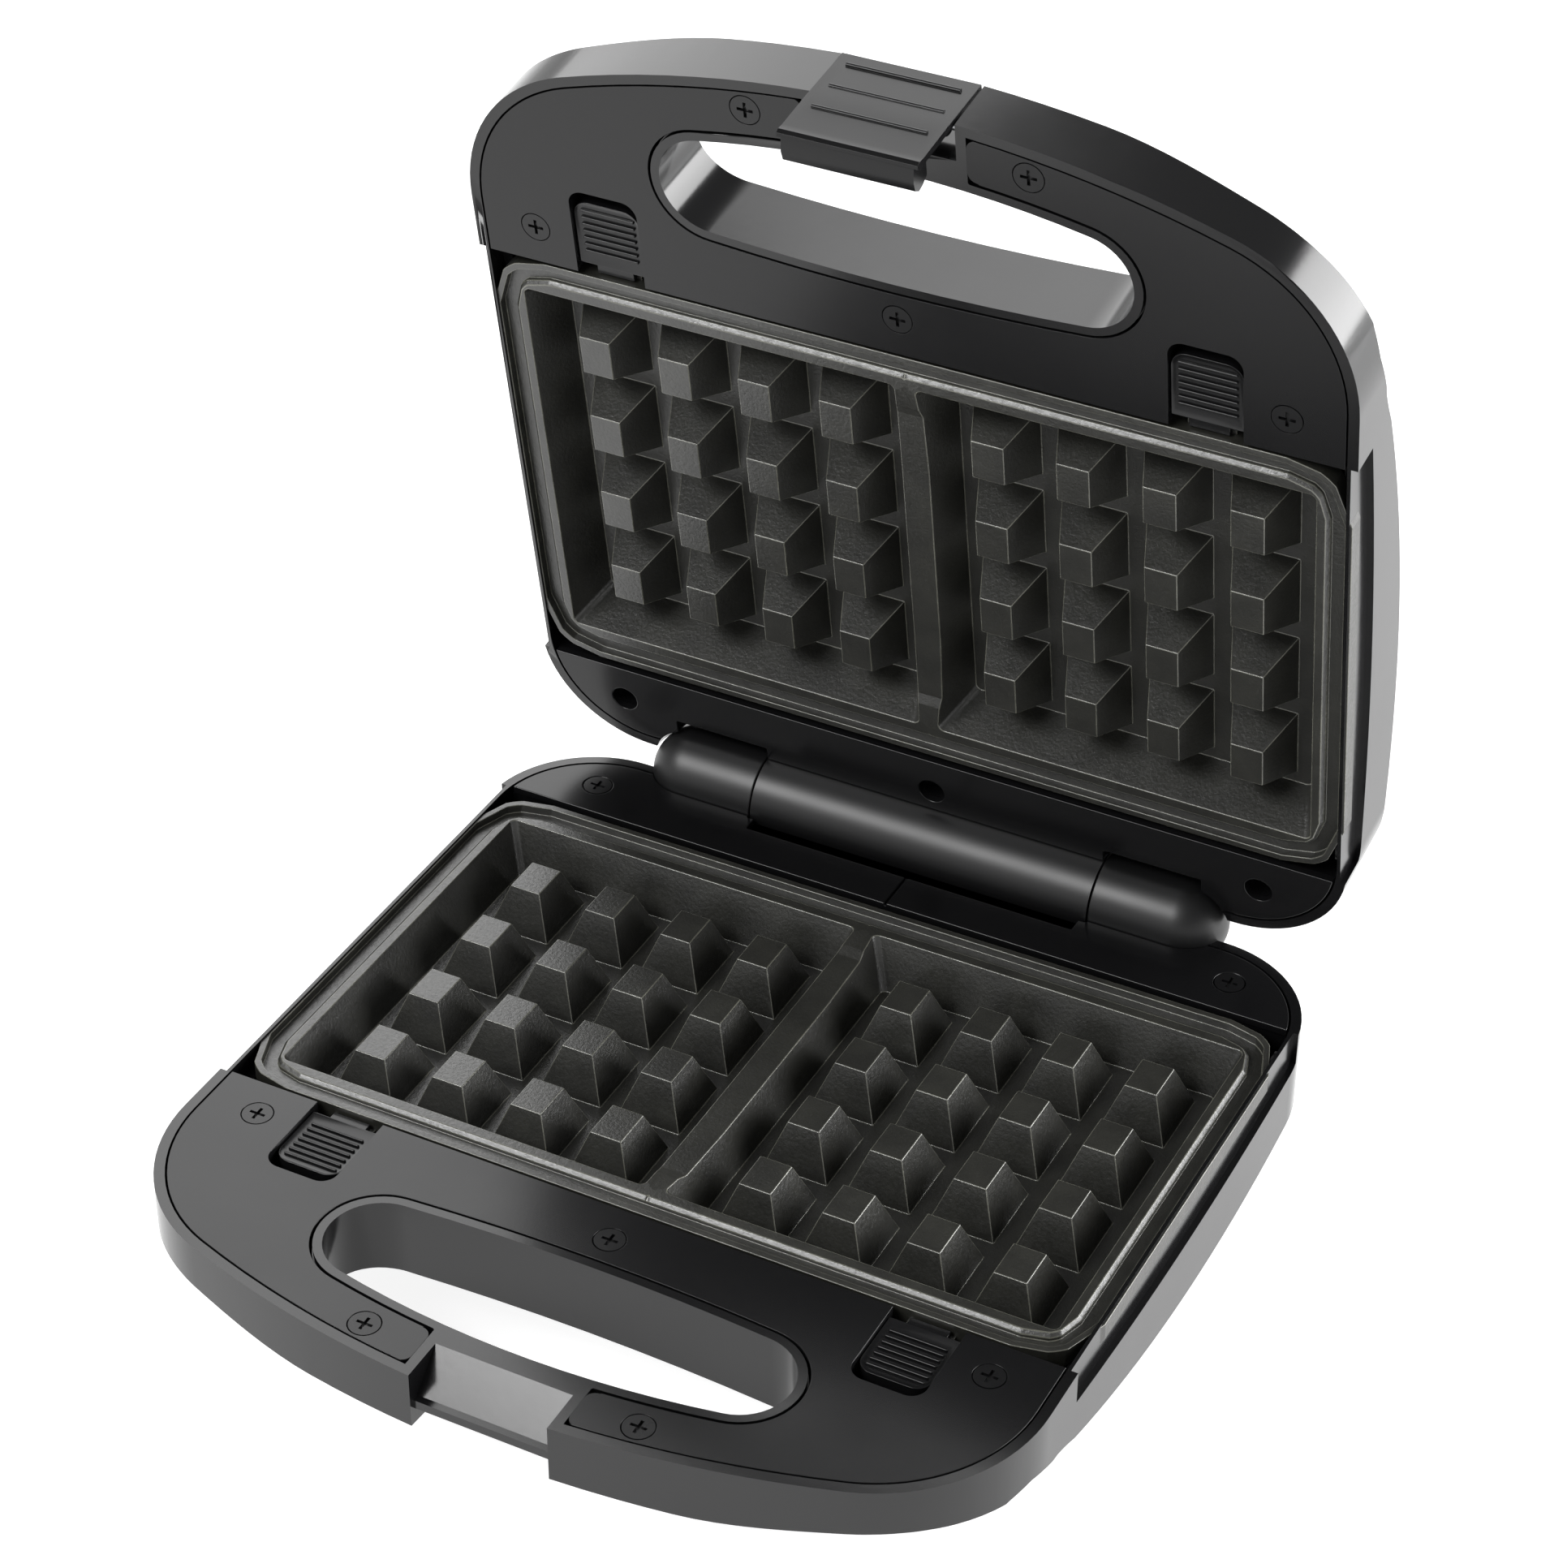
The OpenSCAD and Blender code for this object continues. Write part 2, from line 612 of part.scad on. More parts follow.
module waffle_plate() {
    difference() {
        union() {
            translate([0, 0, ledge_z]) linear_extrude(skirt_h) plate_plan(plate_l, plate_w, 6);
            translate([0, 0, pan_z]) linear_extrude(-pan_z - 3)
                plate_plan(plate_l - 2 * pan_in, plate_w - 2 * pan_in, 8);
        }
        // channel between rim and bead
        translate([0, 0, -3]) linear_extrude(4) difference() {
            plate_plan(plate_l - 3.6, plate_w - 3.6, 5);
            plate_plan(plate_l - 11.4, plate_w - 11.4, 9);
        }
        translate([0, 0, -bead_drop]) linear_extrude(4) plate_plan(plate_l - 8, plate_w - 8, 9);
        // hollow under the skirt
        translate([0, 0, ledge_z - 1]) linear_extrude(skirt_h - 4.3 + 1) difference() {
            plate_plan(plate_l - 4, plate_w - 4, 5);
            plate_plan(plate_l - 2 * pan_in, plate_w - 2 * pan_in, 8);
        }
        for (s = [-1, 1]) translate([s * pocket_cx, plate_cy, 0]) pocket();
        translate([-divider_w, plate_cy - pocket_w / 2 + 3, -divider_drop])
            cube([2 * divider_w, pocket_w - 6, 6]);
    }
    for (s = [-1, 1]) translate([s * pocket_cx, plate_cy, 0]) studs();
    // lugs that the release buttons hold, and tabs that go under the rear cover
    for (s = [-1, 1]) {
        block([s * button_x - 6, -plate_back - plate_w - 2.2, ledge_z],
            [s * button_x + 6, -plate_back - plate_w + 1, ledge_z + 1.6]);
        translate([s * tab_x, -plate_back, ledge_z]) block([-7, -1, 0], [7, 4, 1.6]);
    }
}

module base_waffle_plate() { color(coating) at_base() waffle_plate(); }
module lid_waffle_plate() { color(coating) at_lid() waffle_plate(); }

// --- heating parts ----------------------------------------------------------------------

// Bent tube: a long loop with round corners, and two ends with bare terminals by the hinge
module heater() {
    straight_x = heater_x - heater_bend;
    straight_y = heater_y - heater_bend;
    end_x = 34;
    terminal_l = 10;
    translate([0, plate_cy, heater_z]) {
        translate([0, -heater_y, 0]) rod_x(heater_r, -straight_x, straight_x);
        for (s = [0, 1]) mirror([s, 0, 0]) {
            translate([heater_x, straight_y, 0]) rotate([90, 0, 0])
                cylinder(r = heater_r, h = 2 * straight_y);
            translate([straight_x, -straight_y, 0]) heater_corner(270);
            translate([straight_x, straight_y, 0]) heater_corner(0);
            translate([0, heater_y, 0]) rod_x(heater_r, end_x, straight_x);
            translate([0, heater_y, 0]) rod_x(1.6, end_x - terminal_l, end_x);
        }
    }
}

module heater_corner(turn) {
    rotate([0, 0, turn]) rotate_extrude(angle = 90) translate([heater_bend, 0]) circle(heater_r);
}

module base_heater() { color(steel) at_base() heater(); }
module lid_heater() { color(steel) at_lid() heater(); }

// Shallow steel tray that throws the heat back at the plate
module reflector() {
    difference() {
        translate([0, tray_cy - plate_cy, tray_z]) linear_extrude(tray_h) plate_plan(tray_l, tray_w, 9);
        translate([0, tray_cy - plate_cy, tray_z + tray_t]) linear_extrude(40)
            plate_plan(tray_l - 2 * tray_t, tray_w - 2 * tray_t, 9 - tray_t);
        for (p = posts) translate([p[0], p[1], tray_z - 1]) cylinder(r = 1.7, h = 4);
        translate([0, plate_cy, tray_z - 1]) cylinder(r = 5, h = 4);
    }
    // saddles that hold the heater
    for (s = [-1, 1]) translate([s * heater_x, plate_cy, 0]) difference() {
        block([-6, -4, tray_z + tray_t - 0.1], [6, 4, heater_z]);
        translate([0, 5, heater_z]) rotate([90, 0, 0]) cylinder(r = heater_r, h = 10);
    }
}

module base_reflector() { color(steel) at_base() reflector(); }
module lid_reflector() { color(steel) at_lid() reflector(); }

// --- screws -----------------------------------------------------------------------------

// Countersunk cross-head screw, its head's top at z = 0
module screw(head_r, head_h, shank_r, length) {
    difference() {
        union() {
            translate([0, 0, -head_h]) cylinder(r = head_r, h = head_h);
            translate([0, 0, -length]) cylinder(r = shank_r, h = length);
        }
        for (a = [0, 90]) rotate([0, 0, a]) translate([-head_r * 0.55, -0.4, -head_h * 0.7])
            cube([head_r * 1.1, 0.8, head_h]);
    }
}

module base_cover_screws() {
    color("#222324") at_base() {
        for (p = front_screws) translate([p[0], p[1], -part_gap]) screw(screw_r, 1.2, 1.3, 11);
        for (s = [-1, 1]) translate([s * rear_screw_x, rear_screw_y, -part_gap])
            screw(screw_r, 1.2, 1.3, 13);
    }
}

module lid_cover_screws() {
    color("#222324") at_lid() {
        for (p = front_screws) translate([p[0], p[1], -part_gap]) screw(screw_r, 1.2, 1.3, 11);
        for (s = [-1, 0, 1]) translate([s * rear_screw_x, rear_screw_y, deep_z])
            screw(3.2, deep_head, 1.3, 7);
    }
}

module reflector_screws() {
    for (p = posts) translate([p[0], p[1], tray_z + tray_t + 1.6]) screw(3, 1.6, 1.3, 9);
}

module base_reflector_screws() { color(steel) at_base() reflector_screws(); }
module lid_reflector_screws() { color(steel) at_lid() reflector_screws(); }

// --- hinge ------------------------------------------------------------------------------

module knuckle(s) {
    color(black) at_base() mirror([s < 0 ? 1 : 0, 0, 0]) difference() {
        union() {
            rod_x(barrel_r, barrel_half + barrel_gap, hinge_half - barrel_r);
            translate([hinge_half - barrel_r, 0, 0]) sphere(barrel_r);
        }
        rod_x(pin_r, barrel_half, barrel_half + pin_in);
    }
}

module left_knuckle() { knuckle(-1); }
module right_knuckle() { knuckle(1); }

// Two short steel pins, pressed into the knuckles; the lid's barrel turns on them
module hinge_pins() {
    color(steel) at_base() for (s = [-1, 1])
        rod_x(pin_r, s > 0 ? barrel_half - pin_in : -barrel_half - pin_in,
            s > 0 ? barrel_half + pin_in : -barrel_half + pin_in);
}

// The lid's barrel: hollow in the middle, where the wires cross to the lid
module lid_barrel() {
    color(black) at_lid() difference() {
        rod_x(barrel_r, -barrel_half, barrel_half);
        for (s = [-1, 1]) rod_x(pin_r + run, s > 0 ? barrel_half - pin_in - 1 : -barrel_half - 1,
            s > 0 ? barrel_half + 1 : -barrel_half + pin_in + 1);
        rod_x(barrel_r - 3.5, -barrel_half + pin_in + 4, barrel_half - pin_in - 4);
        for (s = [-1, 1]) translate([s * wire_x, wire_y, -barrel_r]) cylinder(r = wire_hole, h = barrel_r);
    }
}

// --- release buttons --------------------------------------------------------------------

// The button slides towards the handle, and its tongue frees the plate's lug
module release(s) {
    w = button_w / 2 - gap;
    front = cover_back - button_l + button_travel + gap;
    back = cover_back - 2.2;
    pad_z = -part_gap - 1.2;
    translate([s * button_x, 0, 0]) difference() {
        union() {
            translate([0, 0, -6.4]) linear_extrude(6.4 + pad_z) {
                for (x = [-1, 1]) translate([x * (w - 4), front + 4]) circle(4);
                translate([-w + 4, front]) square([2 * w - 8, 5]);
                translate([-w, front + 4]) square([2 * w, back - front - 4]);
            }
            // tongue over the plate's lug
            block([-5, back - 1, ledge_z + 1.6 + 0.2], [5, -plate_back - plate_w - 0.5, pad_z - 0.9]);
            // leg that the spring pushes on
            block([-3.5, front, spring_z - 2.6], [3.5, front + 2.4, -6]);
        }
        // ribbed pad, sunk inside a border
        translate([0, 0, pad_z - 1.3]) linear_extrude(3)
            translate([-w + 1.9, front + 3.4]) square([2 * w - 3.8, back - front - 6.4]);
    }
    for (i = [0:5]) translate([s * button_x, front + 4.6 + i * 2.3, pad_z - 1.4])
        block([-w + 1.9, 0, 0], [w - 1.9, 1, 1.2]);
}

module base_left_release() { color(black) at_base() release(-1); }
module base_right_release() { color(black) at_base() release(1); }
module lid_left_release() { color(black) at_lid() release(1); }
module lid_right_release() { color(black) at_lid() release(-1); }

// Coil spring between the button's stem and a post of the shell
module release_spring(s) {
    turns = 5;
    y1 = cover_back - button_l + button_travel + gap;
    translate([s * button_x, spring_y, spring_z]) rotate([-90, 0, 0])
        coil(1.8, 0.35, y1 - spring_y, turns);
}

// Round wire wound into a coil along Z
module coil(r, wire, h, turns) {
    steps = 14;
    sides = 6;
    n = turns * steps;
    rise = (h - 2 * wire) / n;
    points = [for (i = [0:n], j = [0:sides - 1])
        let (a = 360 * i / steps, b = 360 * j / sides, q = r + wire * cos(b))
        [q * cos(a), q * sin(a), wire + rise * i + wire * sin(b)]];
    walls = [for (i = [0:n - 1], j = [0:sides - 1]) let (k = (j + 1) % sides)
        [i * sides + j, (i + 1) * sides + j, (i + 1) * sides + k, i * sides + k]];
    ends = [[for (j = [0:sides - 1]) j], [for (j = [sides - 1:-1:0]) n * sides + j]];
    polyhedron(points, concat(walls, ends), convexity = 6);
}

module base_left_spring() { color(steel) at_base() release_spring(-1); }
module base_right_spring() { color(steel) at_base() release_spring(1); }
module lid_left_spring() { color(steel) at_lid() release_spring(1); }
module lid_right_spring() { color(steel) at_lid() release_spring(-1); }

// --- latch ------------------------------------------------------------------------------

// Ribbed plate that rocks on a pin; its lower end hooks under the base's handle bar
module latch() {
    w = latch_w / 2 - 0.2;
    y = latch_y;
    color(black) at_lid() difference() {
        union() {
            // plate, bent a little at the parting plane, with a rolled end lip
            rotate([90, 0, 90]) translate([0, 0, -w]) linear_extrude(2 * w)
                polygon([[y + 0.5, -handle_depth + 0.2], [y, 1.5], [y, 14.2], [y - 0.2, 16.2],
                    [y + 0.3, 17.2], [y + 1.2, 17.4], [y + latch_t, 16.2], [y + latch_t, 1.5],
                    [y + latch_t + 0.5, -handle_depth + 0.2]]);
            // hook, a little narrower than the plate
            rotate([90, 0, 90]) translate([0, 0, -w + 1]) linear_extrude(2 * w - 2)
                polygon([[y + 1.2, 17.2], [y + 4.6, 17.8], [y + 7.2, 17.2], [y + 8.4, 15.4],
                    [y + 8, 13.6], [y + 6.8, bar_under + 0.5], [y + 1.2, bar_under + 0.5]]);
            // two ears round the pin
            for (s = [-1, 1]) translate([s * 11, 0, 0]) {
                translate([0, latch_pin_y, latch_pin_z]) rod_x(3.2, -2, 2);
                block([-2, y + 1, latch_pin_z - 3.2], [2, latch_pin_y, latch_pin_z + 3.2]);
            }
            // three ribs across the outer face
            for (z = [-11, -2.5, 6]) translate([0, y + (z < 0 ? 0.25 : 0), z]) rod_x(0.55, -14, 14);
        }
        translate([0, latch_pin_y, latch_pin_z]) rod_x(latch_pin_r + run, -20, 20);
    }
}

module latch_pin() {
    w = latch_w / 2 + 4;
    color(steel) at_lid() translate([0, latch_pin_y, latch_pin_z]) rod_x(latch_pin_r, -w, w);
}

module latch_spring() {
    y0 = latch_y + latch_t + 0.8;
    color(steel) at_lid() translate([0, y0, -12]) rotate([-90, 0, 0])
        coil(2, 0.35, -front_reach + latch_gap_y - y0, 4);
}

// --- small parts ------------------------------------------------------------------------

module foot(x, y) {
    color("#2a2a2a") at_base() translate([x, y, -half_depth]) {
        translate([0, 0, -foot_h]) cylinder(r1 = 7, r2 = 8, h = foot_h);
        cylinder(r = 3, h = 4);
    }
}

module front_left_foot() { foot(-foot_x, feet_y[0]); }
module front_right_foot() { foot(foot_x, feet_y[0]); }
module rear_left_foot() { foot(-foot_x, feet_y[1]); }
module rear_right_foot() { foot(foot_x, feet_y[1]); }

// Bimetal thermostat under the middle of the tray, its head through the tray's hole
module thermostat() {
    color("#c9c3b4") at_base() translate([0, plate_cy, 0]) {
        translate([0, 0, tray_z - 8]) cylinder(r = 9, h = 8);
        translate([0, 0, tray_z]) cylinder(r = 4.6, h = 6);
        for (s = [-1, 1]) block([s * 11 - 3, -2.5, tray_z - 6], [s * 11 + 3, 2.5, tray_z - 5.2]);
    }
}

module thermal_fuse() {
    color("#d9d6cc") at_base() translate([40, plate_cy - 10, tray_z - 3])
        { rod_x(3, -11, 11); rod_x(0.7, -20, 20); }
}

module terminal_block() {
    color("#d8d4c8") at_base() translate([cord_x, block_y + 7, -half_depth + wall]) difference() {
        block([-17, -7, 0], [17, 7, 9]);
        for (i = [-1:1]) translate([i * 10.5, 0, 5]) {
            translate([0, 8, 0]) rotate([90, 0, 0]) cylinder(r = 2, h = 16);
            cylinder(r = 2, h = 8);
        }
    }
}

// Bush for the mains lead, with its bore open to the rear
module cord_bush() {
    color("#202020") at_base() translate([cord_x, rear_y, cord_z]) rotate([-90, 0, 0]) difference() {
        union() {
            translate([0, 0, -wall - 3.4]) cylinder(r = bush_r, h = wall + 4.4);
            cylinder(r1 = bush_r + 2, r2 = bush_r + 1, h = 4);
            translate([0, 0, -wall - 2.6]) cylinder(r = bush_r + 0.8, h = 2.6);
        }
        translate([0, 0, -10]) cylinder(r = cord_bore, h = 20);
    }
}

// Insulated lead: a tube swept through points on a Catmull-Rom curve
module lead(points, r = 1.1) {
    sides = 10;
    steps = 5;
    path = [for (i = [0:len(points) - 2], k = [0:steps - 1]) on_curve(points, i, k / steps),
        points[len(points) - 1]];
    n = len(path);
    rings = [for (i = [0:n - 1])
        let (along = path[min(i + 1, n - 1)] - path[max(i - 1, 0)], t = along / norm(along),
            u0 = cross(t, [0.2, 0.1, 1]), u = u0 / norm(u0), v = cross(t, u))
        for (j = [0:sides - 1]) path[i] + r * (cos(360 * j / sides) * u + sin(360 * j / sides) * v)];
    walls = [for (i = [0:n - 2], j = [0:sides - 1]) let (k = (j + 1) % sides)
        [i * sides + j, i * sides + k, (i + 1) * sides + k, (i + 1) * sides + j]];
    ends = [[for (j = [sides - 1:-1:0]) j], [for (j = [0:sides - 1]) (n - 1) * sides + j]];
    polyhedron(rings, concat(walls, ends), convexity = 6);
}

function on_curve(p, i, t) =
    let (a = p[max(i - 1, 0)], b = p[i], c = p[i + 1], d = p[min(i + 2, len(p) - 1)])
    ((b * 2) + (c - a) * t + (a * 2 - b * 5 + c * 4 - d) * t * t
        + (b * 3 - a - c * 3 + d) * t * t * t) / 2;

module base_wires() {
    z = -half_depth + wall + 5;
    color("#e8e4da") at_base() {
        lead([[cord_x - 10.5, block_y, z], [cord_x - 12, block_y - 8, z],
            [36, block_y - 22, z + 1], [15, plate_cy, tray_z - 5.6]]);
        lead([[60.5, plate_cy - 10, tray_z - 3], [67, plate_cy - 8, tray_z - 4],
            [72, plate_cy + 4, tray_z - 6], [72, block_y - 10, z], [cord_x + 10.5, block_y, z]]);
    }
}

module lens(x, tint) {
    color(tint) at_lid() translate([x, lens_y, -half_depth]) {
        cylinder(r = lens_r, h = wall);
        translate([0, 0, wall]) cylinder(r = lens_r + 1.2, h = 1);
    }
}

module power_lens() { lens(lens_xs[1], "#b8231c"); }
module ready_lens() { lens(lens_xs[0], "#2f8f3a"); }

// Small board with the two lamps
module lamp_board() {
    color("#a8783c") at_lid() translate([0, lens_y, -half_depth + wall + 1]) {
        difference() {
            block([-18, -9, 4.4], [18, 9, 6]);
            for (x = [-15, 15]) translate([x, 0, 0]) cylinder(r = 1.3, h = 10);
        }
        for (x = lens_xs) translate([x, 0, 0]) cylinder(r = 2.6, h = 4.4);
    }
}

module lid_wires() {
    z = -half_depth + wall + 7;
    color("#e8e4da") at_lid() {
        for (s = [-1, 1]) lead([[s * 8, lens_y + 9.3, z - 0.4], [s * 8, lens_y + 12, z - 0.4],
            [s * 14, lens_y + 24, z - 2], [s * wire_x, -plate_back, z + 6],
            [s * wire_x, wire_y - 6, -20], [s * wire_x, wire_y, -16], [s * wire_x, wire_y, -11],
            [s * wire_x, wire_y, -5]]);
    }
}

base_shell();
base_front_cover();
base_rear_cover();
base_waffle_plate();
base_reflector();
base_heater();
base_left_release();
base_right_release();
base_left_spring();
base_right_spring();
base_cover_screws();
base_reflector_screws();
left_knuckle();
right_knuckle();
hinge_pins();
front_left_foot();
front_right_foot();
rear_left_foot();
rear_right_foot();
thermostat();
thermal_fuse();
terminal_block();
cord_bush();
base_wires();
lid_shell();
lid_front_cover();
lid_rear_cover();
lid_waffle_plate();
lid_reflector();
lid_heater();
lid_left_release();
lid_right_release();
lid_left_spring();
lid_right_spring();
lid_cover_screws();
lid_reflector_screws();
lid_barrel();
latch();
latch_pin();
latch_spring();
power_lens();
ready_lens();
lamp_board();
lid_wires();
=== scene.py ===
"""Two-slice waffle maker standing open: moulded casing, coated plates, hinge, latch and buttons."""
import json
import math

import bmesh
import bpy
from mathutils import Matrix, Vector


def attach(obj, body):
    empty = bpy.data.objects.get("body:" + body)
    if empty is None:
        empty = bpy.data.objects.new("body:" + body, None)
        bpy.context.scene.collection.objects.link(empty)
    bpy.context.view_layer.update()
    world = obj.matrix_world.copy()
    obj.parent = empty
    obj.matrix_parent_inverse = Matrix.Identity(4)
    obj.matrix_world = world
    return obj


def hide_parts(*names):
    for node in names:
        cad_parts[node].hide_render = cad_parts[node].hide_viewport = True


bl_info = {
    "name": "Waffle Maker",
    "version": (1, 0, 0),
    "blender": (4, 5, 0),
    "location": "View3D > Sidebar > Waffle Maker",
    "description": "Builds the visible pieces of an open two-slice waffle maker",
    "category": "Add Mesh",
}

MM = 0.001
NEAR = 0.01 * MM      # two places closer than this are the same
FLAT_ANGLE = 0.4      # triangles that meet at less than these degrees are one face
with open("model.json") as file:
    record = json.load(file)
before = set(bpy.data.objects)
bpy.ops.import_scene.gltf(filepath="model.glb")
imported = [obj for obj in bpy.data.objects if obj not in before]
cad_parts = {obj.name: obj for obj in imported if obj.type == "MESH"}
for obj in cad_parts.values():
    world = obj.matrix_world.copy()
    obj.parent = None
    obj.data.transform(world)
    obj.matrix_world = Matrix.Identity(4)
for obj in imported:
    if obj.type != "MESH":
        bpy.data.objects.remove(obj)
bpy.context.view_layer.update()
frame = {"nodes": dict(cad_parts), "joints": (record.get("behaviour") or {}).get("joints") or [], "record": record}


# ---------------------------------------------------------------- places, read from the frame

def joint_place(name):
    """Position of a joint, in the row frame."""
    joint = next(j for j in frame["joints"] if j["name"] == name)
    return Vector(joint["pos_m"])


HINGE = joint_place("lid_hinge")
OPEN = math.radians(next(j for j in frame["joints"] if j["name"] == "lid_hinge")["range_deg"][1])
BASE = Matrix.Translation(HINGE)
LID = BASE @ Matrix.Rotation(-OPEN, 4, "X") @ Matrix.Rotation(math.pi, 4, "Y")
HALVES = {"base": BASE, "lid": LID}


# ---------------------------------------------------------------- mesh helpers

def body_of(node):
    """Name of the body that a CAD node belongs to."""
    bodies = frame["record"]["behaviour"]["bodies"]
    return next(body for body, nodes in bodies.items() if node in nodes)


def finish_mesh(bm, name, material, body, smooth=True):
    """Turns a bmesh into an object at the origin that rides on a body."""
    mesh = bpy.data.meshes.new(name)
    bm.to_mesh(mesh)
    bm.free()
    piece = bpy.data.objects.new(name, mesh)
    bpy.context.scene.collection.objects.link(piece)
    mesh.materials.append(material)
    if smooth:
        mesh.shade_smooth()
    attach(piece, body)
    return piece


def round_edges(piece, width, segments, angle):
    """Rounds the edges sharper than an angle with a live bevel, and evens the flats' shading."""
    bevel = piece.modifiers.new("Edges", "BEVEL")
    bevel.width = width
    bevel.segments = segments
    bevel.limit_method = "ANGLE"
    bevel.angle_limit = math.radians(angle)
    bevel.profile = 0.5
    bevel.miter_outer = "MITER_ARC"
    bevel.use_clamp_overlap = True
    weighted = piece.modifiers.new("Shading", "WEIGHTED_NORMAL")
    weighted.mode = "FACE_AREA"
    weighted.weight = 50
    weighted.keep_sharp = False


def moulded_copy(node, name, material, width):
    """A CAD node's shape with its loose triangles joined and its edges rounded as a mould does."""
    bm = bmesh.new()
    bm.from_mesh(frame["nodes"][node].data)
    bmesh.ops.remove_doubles(bm, verts=bm.verts, dist=NEAR)
    bmesh.ops.dissolve_limit(
        bm, angle_limit=math.radians(FLAT_ANGLE), use_dissolve_boundaries=False,
        verts=bm.verts, edges=bm.edges, delimit=set())
    piece = finish_mesh(bm, name, material, body_of(node))
    round_edges(piece, width, 3, 32)
    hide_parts(node)
    return piece


# ---------------------------------------------------------------- materials

HAZE_MM = 38          # size of the cloudy patches that handling leaves on plastic
SPRAY_GRAIN_MM = 0.9  # droplets of the sprayed coat
SPRAY_CLOUD_MM = 9    # slow change of tone where the coat is thicker
SPRAY_DEPTH_MM = 0.1
COATING_IOR = 1.75    # reflects a little more than the plastics do


def rgb(hex_colour):
    """An sRGB hex colour as linear RGBA."""
    channels = [int(hex_colour[i:i + 2], 16) / 255 for i in (1, 3, 5)]
    linear = [c / 12.92 if c <= 0.04045 else ((c + 0.055) / 1.055) ** 2.4 for c in channels]
    return (*linear, 1.0)


def add_node(tree, kind, inputs=None, **settings):
    """Adds a node, sets its properties, and sets or links its inputs."""
    node = tree.nodes.new(kind)
    for name, value in settings.items():
        setattr(node, name, value)
    for name, value in (inputs or {}).items():
        if isinstance(value, bpy.types.NodeSocket):
            tree.links.new(value, node.inputs[name])
        else:
            node.inputs[name].default_value = value
    return node


def new_material(name):
    """An empty node material with its shader and object coordinates."""
    material = bpy.data.materials.new(name)
    material.use_nodes = True
    tree = material.node_tree
    shader = tree.nodes["Principled BSDF"]
    place = add_node(tree, "ShaderNodeTexCoord").outputs["Object"]
    return material, tree, shader, place


def moulded_plastic(name, colour, roughness, grain_mm, depth_mm, spread=0.06, ior=1.5):
    """Plastic, rubber or lacquer: even gloss, a faint ripple and a little haze."""
    material, tree, shader, place = new_material(name)
    ripple = add_node(tree, "ShaderNodeTexNoise", {
        "Vector": place, "Scale": 1 / (grain_mm * MM), "Detail": 3.0, "Roughness": 0.55})
    haze = add_node(tree, "ShaderNodeTexNoise", {
        "Vector": place, "Scale": 1 / (HAZE_MM * MM), "Detail": 4.0})
    rough = add_node(tree, "ShaderNodeMapRange", {
        "Value": haze.outputs["Fac"], "From Min": 0.3, "From Max": 0.7,
        "To Min": roughness - spread / 2, "To Max": roughness + spread / 2})
    bump = add_node(tree, "ShaderNodeBump", {
        "Height": ripple.outputs["Fac"], "Strength": 1.0, "Distance": depth_mm * MM})
    shader.inputs["Base Color"].default_value = rgb(colour)
    shader.inputs["IOR"].default_value = ior
    tree.links.new(rough.outputs["Result"], shader.inputs["Roughness"])
    tree.links.new(bump.outputs["Normal"], shader.inputs["Normal"])
    return material


def non_stick(name, dark, pale, low, high):
    """PTFE coating sprayed on cast aluminium: fine leathery grain, semi-gloss, flecked a little."""
    material, tree, shader, place = new_material(name)
    grain = add_node(tree, "ShaderNodeTexNoise", {
        "Vector": place, "Scale": 1 / (SPRAY_GRAIN_MM * MM), "Detail": 4.0, "Roughness": 0.6})
    swell = add_node(tree, "ShaderNodeTexNoise", {
        "Vector": place, "Scale": 1 / (SPRAY_CLOUD_MM * MM), "Detail": 2.0})
    tone = add_node(tree, "ShaderNodeValToRGB", {"Fac": swell.outputs["Fac"]})
    tone.color_ramp.elements[0].position = 0.35
    tone.color_ramp.elements[0].color = rgb(dark)
    tone.color_ramp.elements[1].position = 0.7
    tone.color_ramp.elements[1].color = rgb(pale)
    rough = add_node(tree, "ShaderNodeMapRange", {
        "Value": grain.outputs["Fac"], "From Min": 0.3, "From Max": 0.7,
        "To Min": low, "To Max": high})
    bump = add_node(tree, "ShaderNodeBump", {
        "Height": grain.outputs["Fac"], "Strength": 1.0, "Distance": SPRAY_DEPTH_MM * MM})
    tree.links.new(tone.outputs["Color"], shader.inputs["Base Color"])
    tree.links.new(rough.outputs["Result"], shader.inputs["Roughness"])
    tree.links.new(bump.outputs["Normal"], shader.inputs["Normal"])
    shader.inputs["IOR"].default_value = COATING_IOR
    return material


def metal(name, colour, roughness, grain_mm, depth_mm):
    """Bare or plated metal with fine drawing or turning marks."""
    material, tree, shader, place = new_material(name)
    marks = add_node(tree, "ShaderNodeTexNoise", {
        "Vector": place, "Scale": 1 / (grain_mm * MM), "Detail": 3.0})
    bump = add_node(tree, "ShaderNodeBump", {
        "Height": marks.outputs["Fac"], "Strength": 1.0, "Distance": depth_mm * MM})
    rough = add_node(tree, "ShaderNodeMapRange", {
        "Value": marks.outputs["Fac"], "To Min": roughness - 0.08, "To Max": roughness + 0.08})
    shader.inputs["Base Color"].default_value = rgb(colour)
    shader.inputs["Metallic"].default_value = 1.0
    tree.links.new(rough.outputs["Result"], shader.inputs["Roughness"])
    tree.links.new(bump.outputs["Normal"], shader.inputs["Normal"])
    return material


class Finish:
    """The object's materials, each made once."""

    made = {}

    @classmethod
    def get(cls, key):
        if key not in cls.made:
            cls.made[key] = RECIPES[key]()
        return cls.made[key]


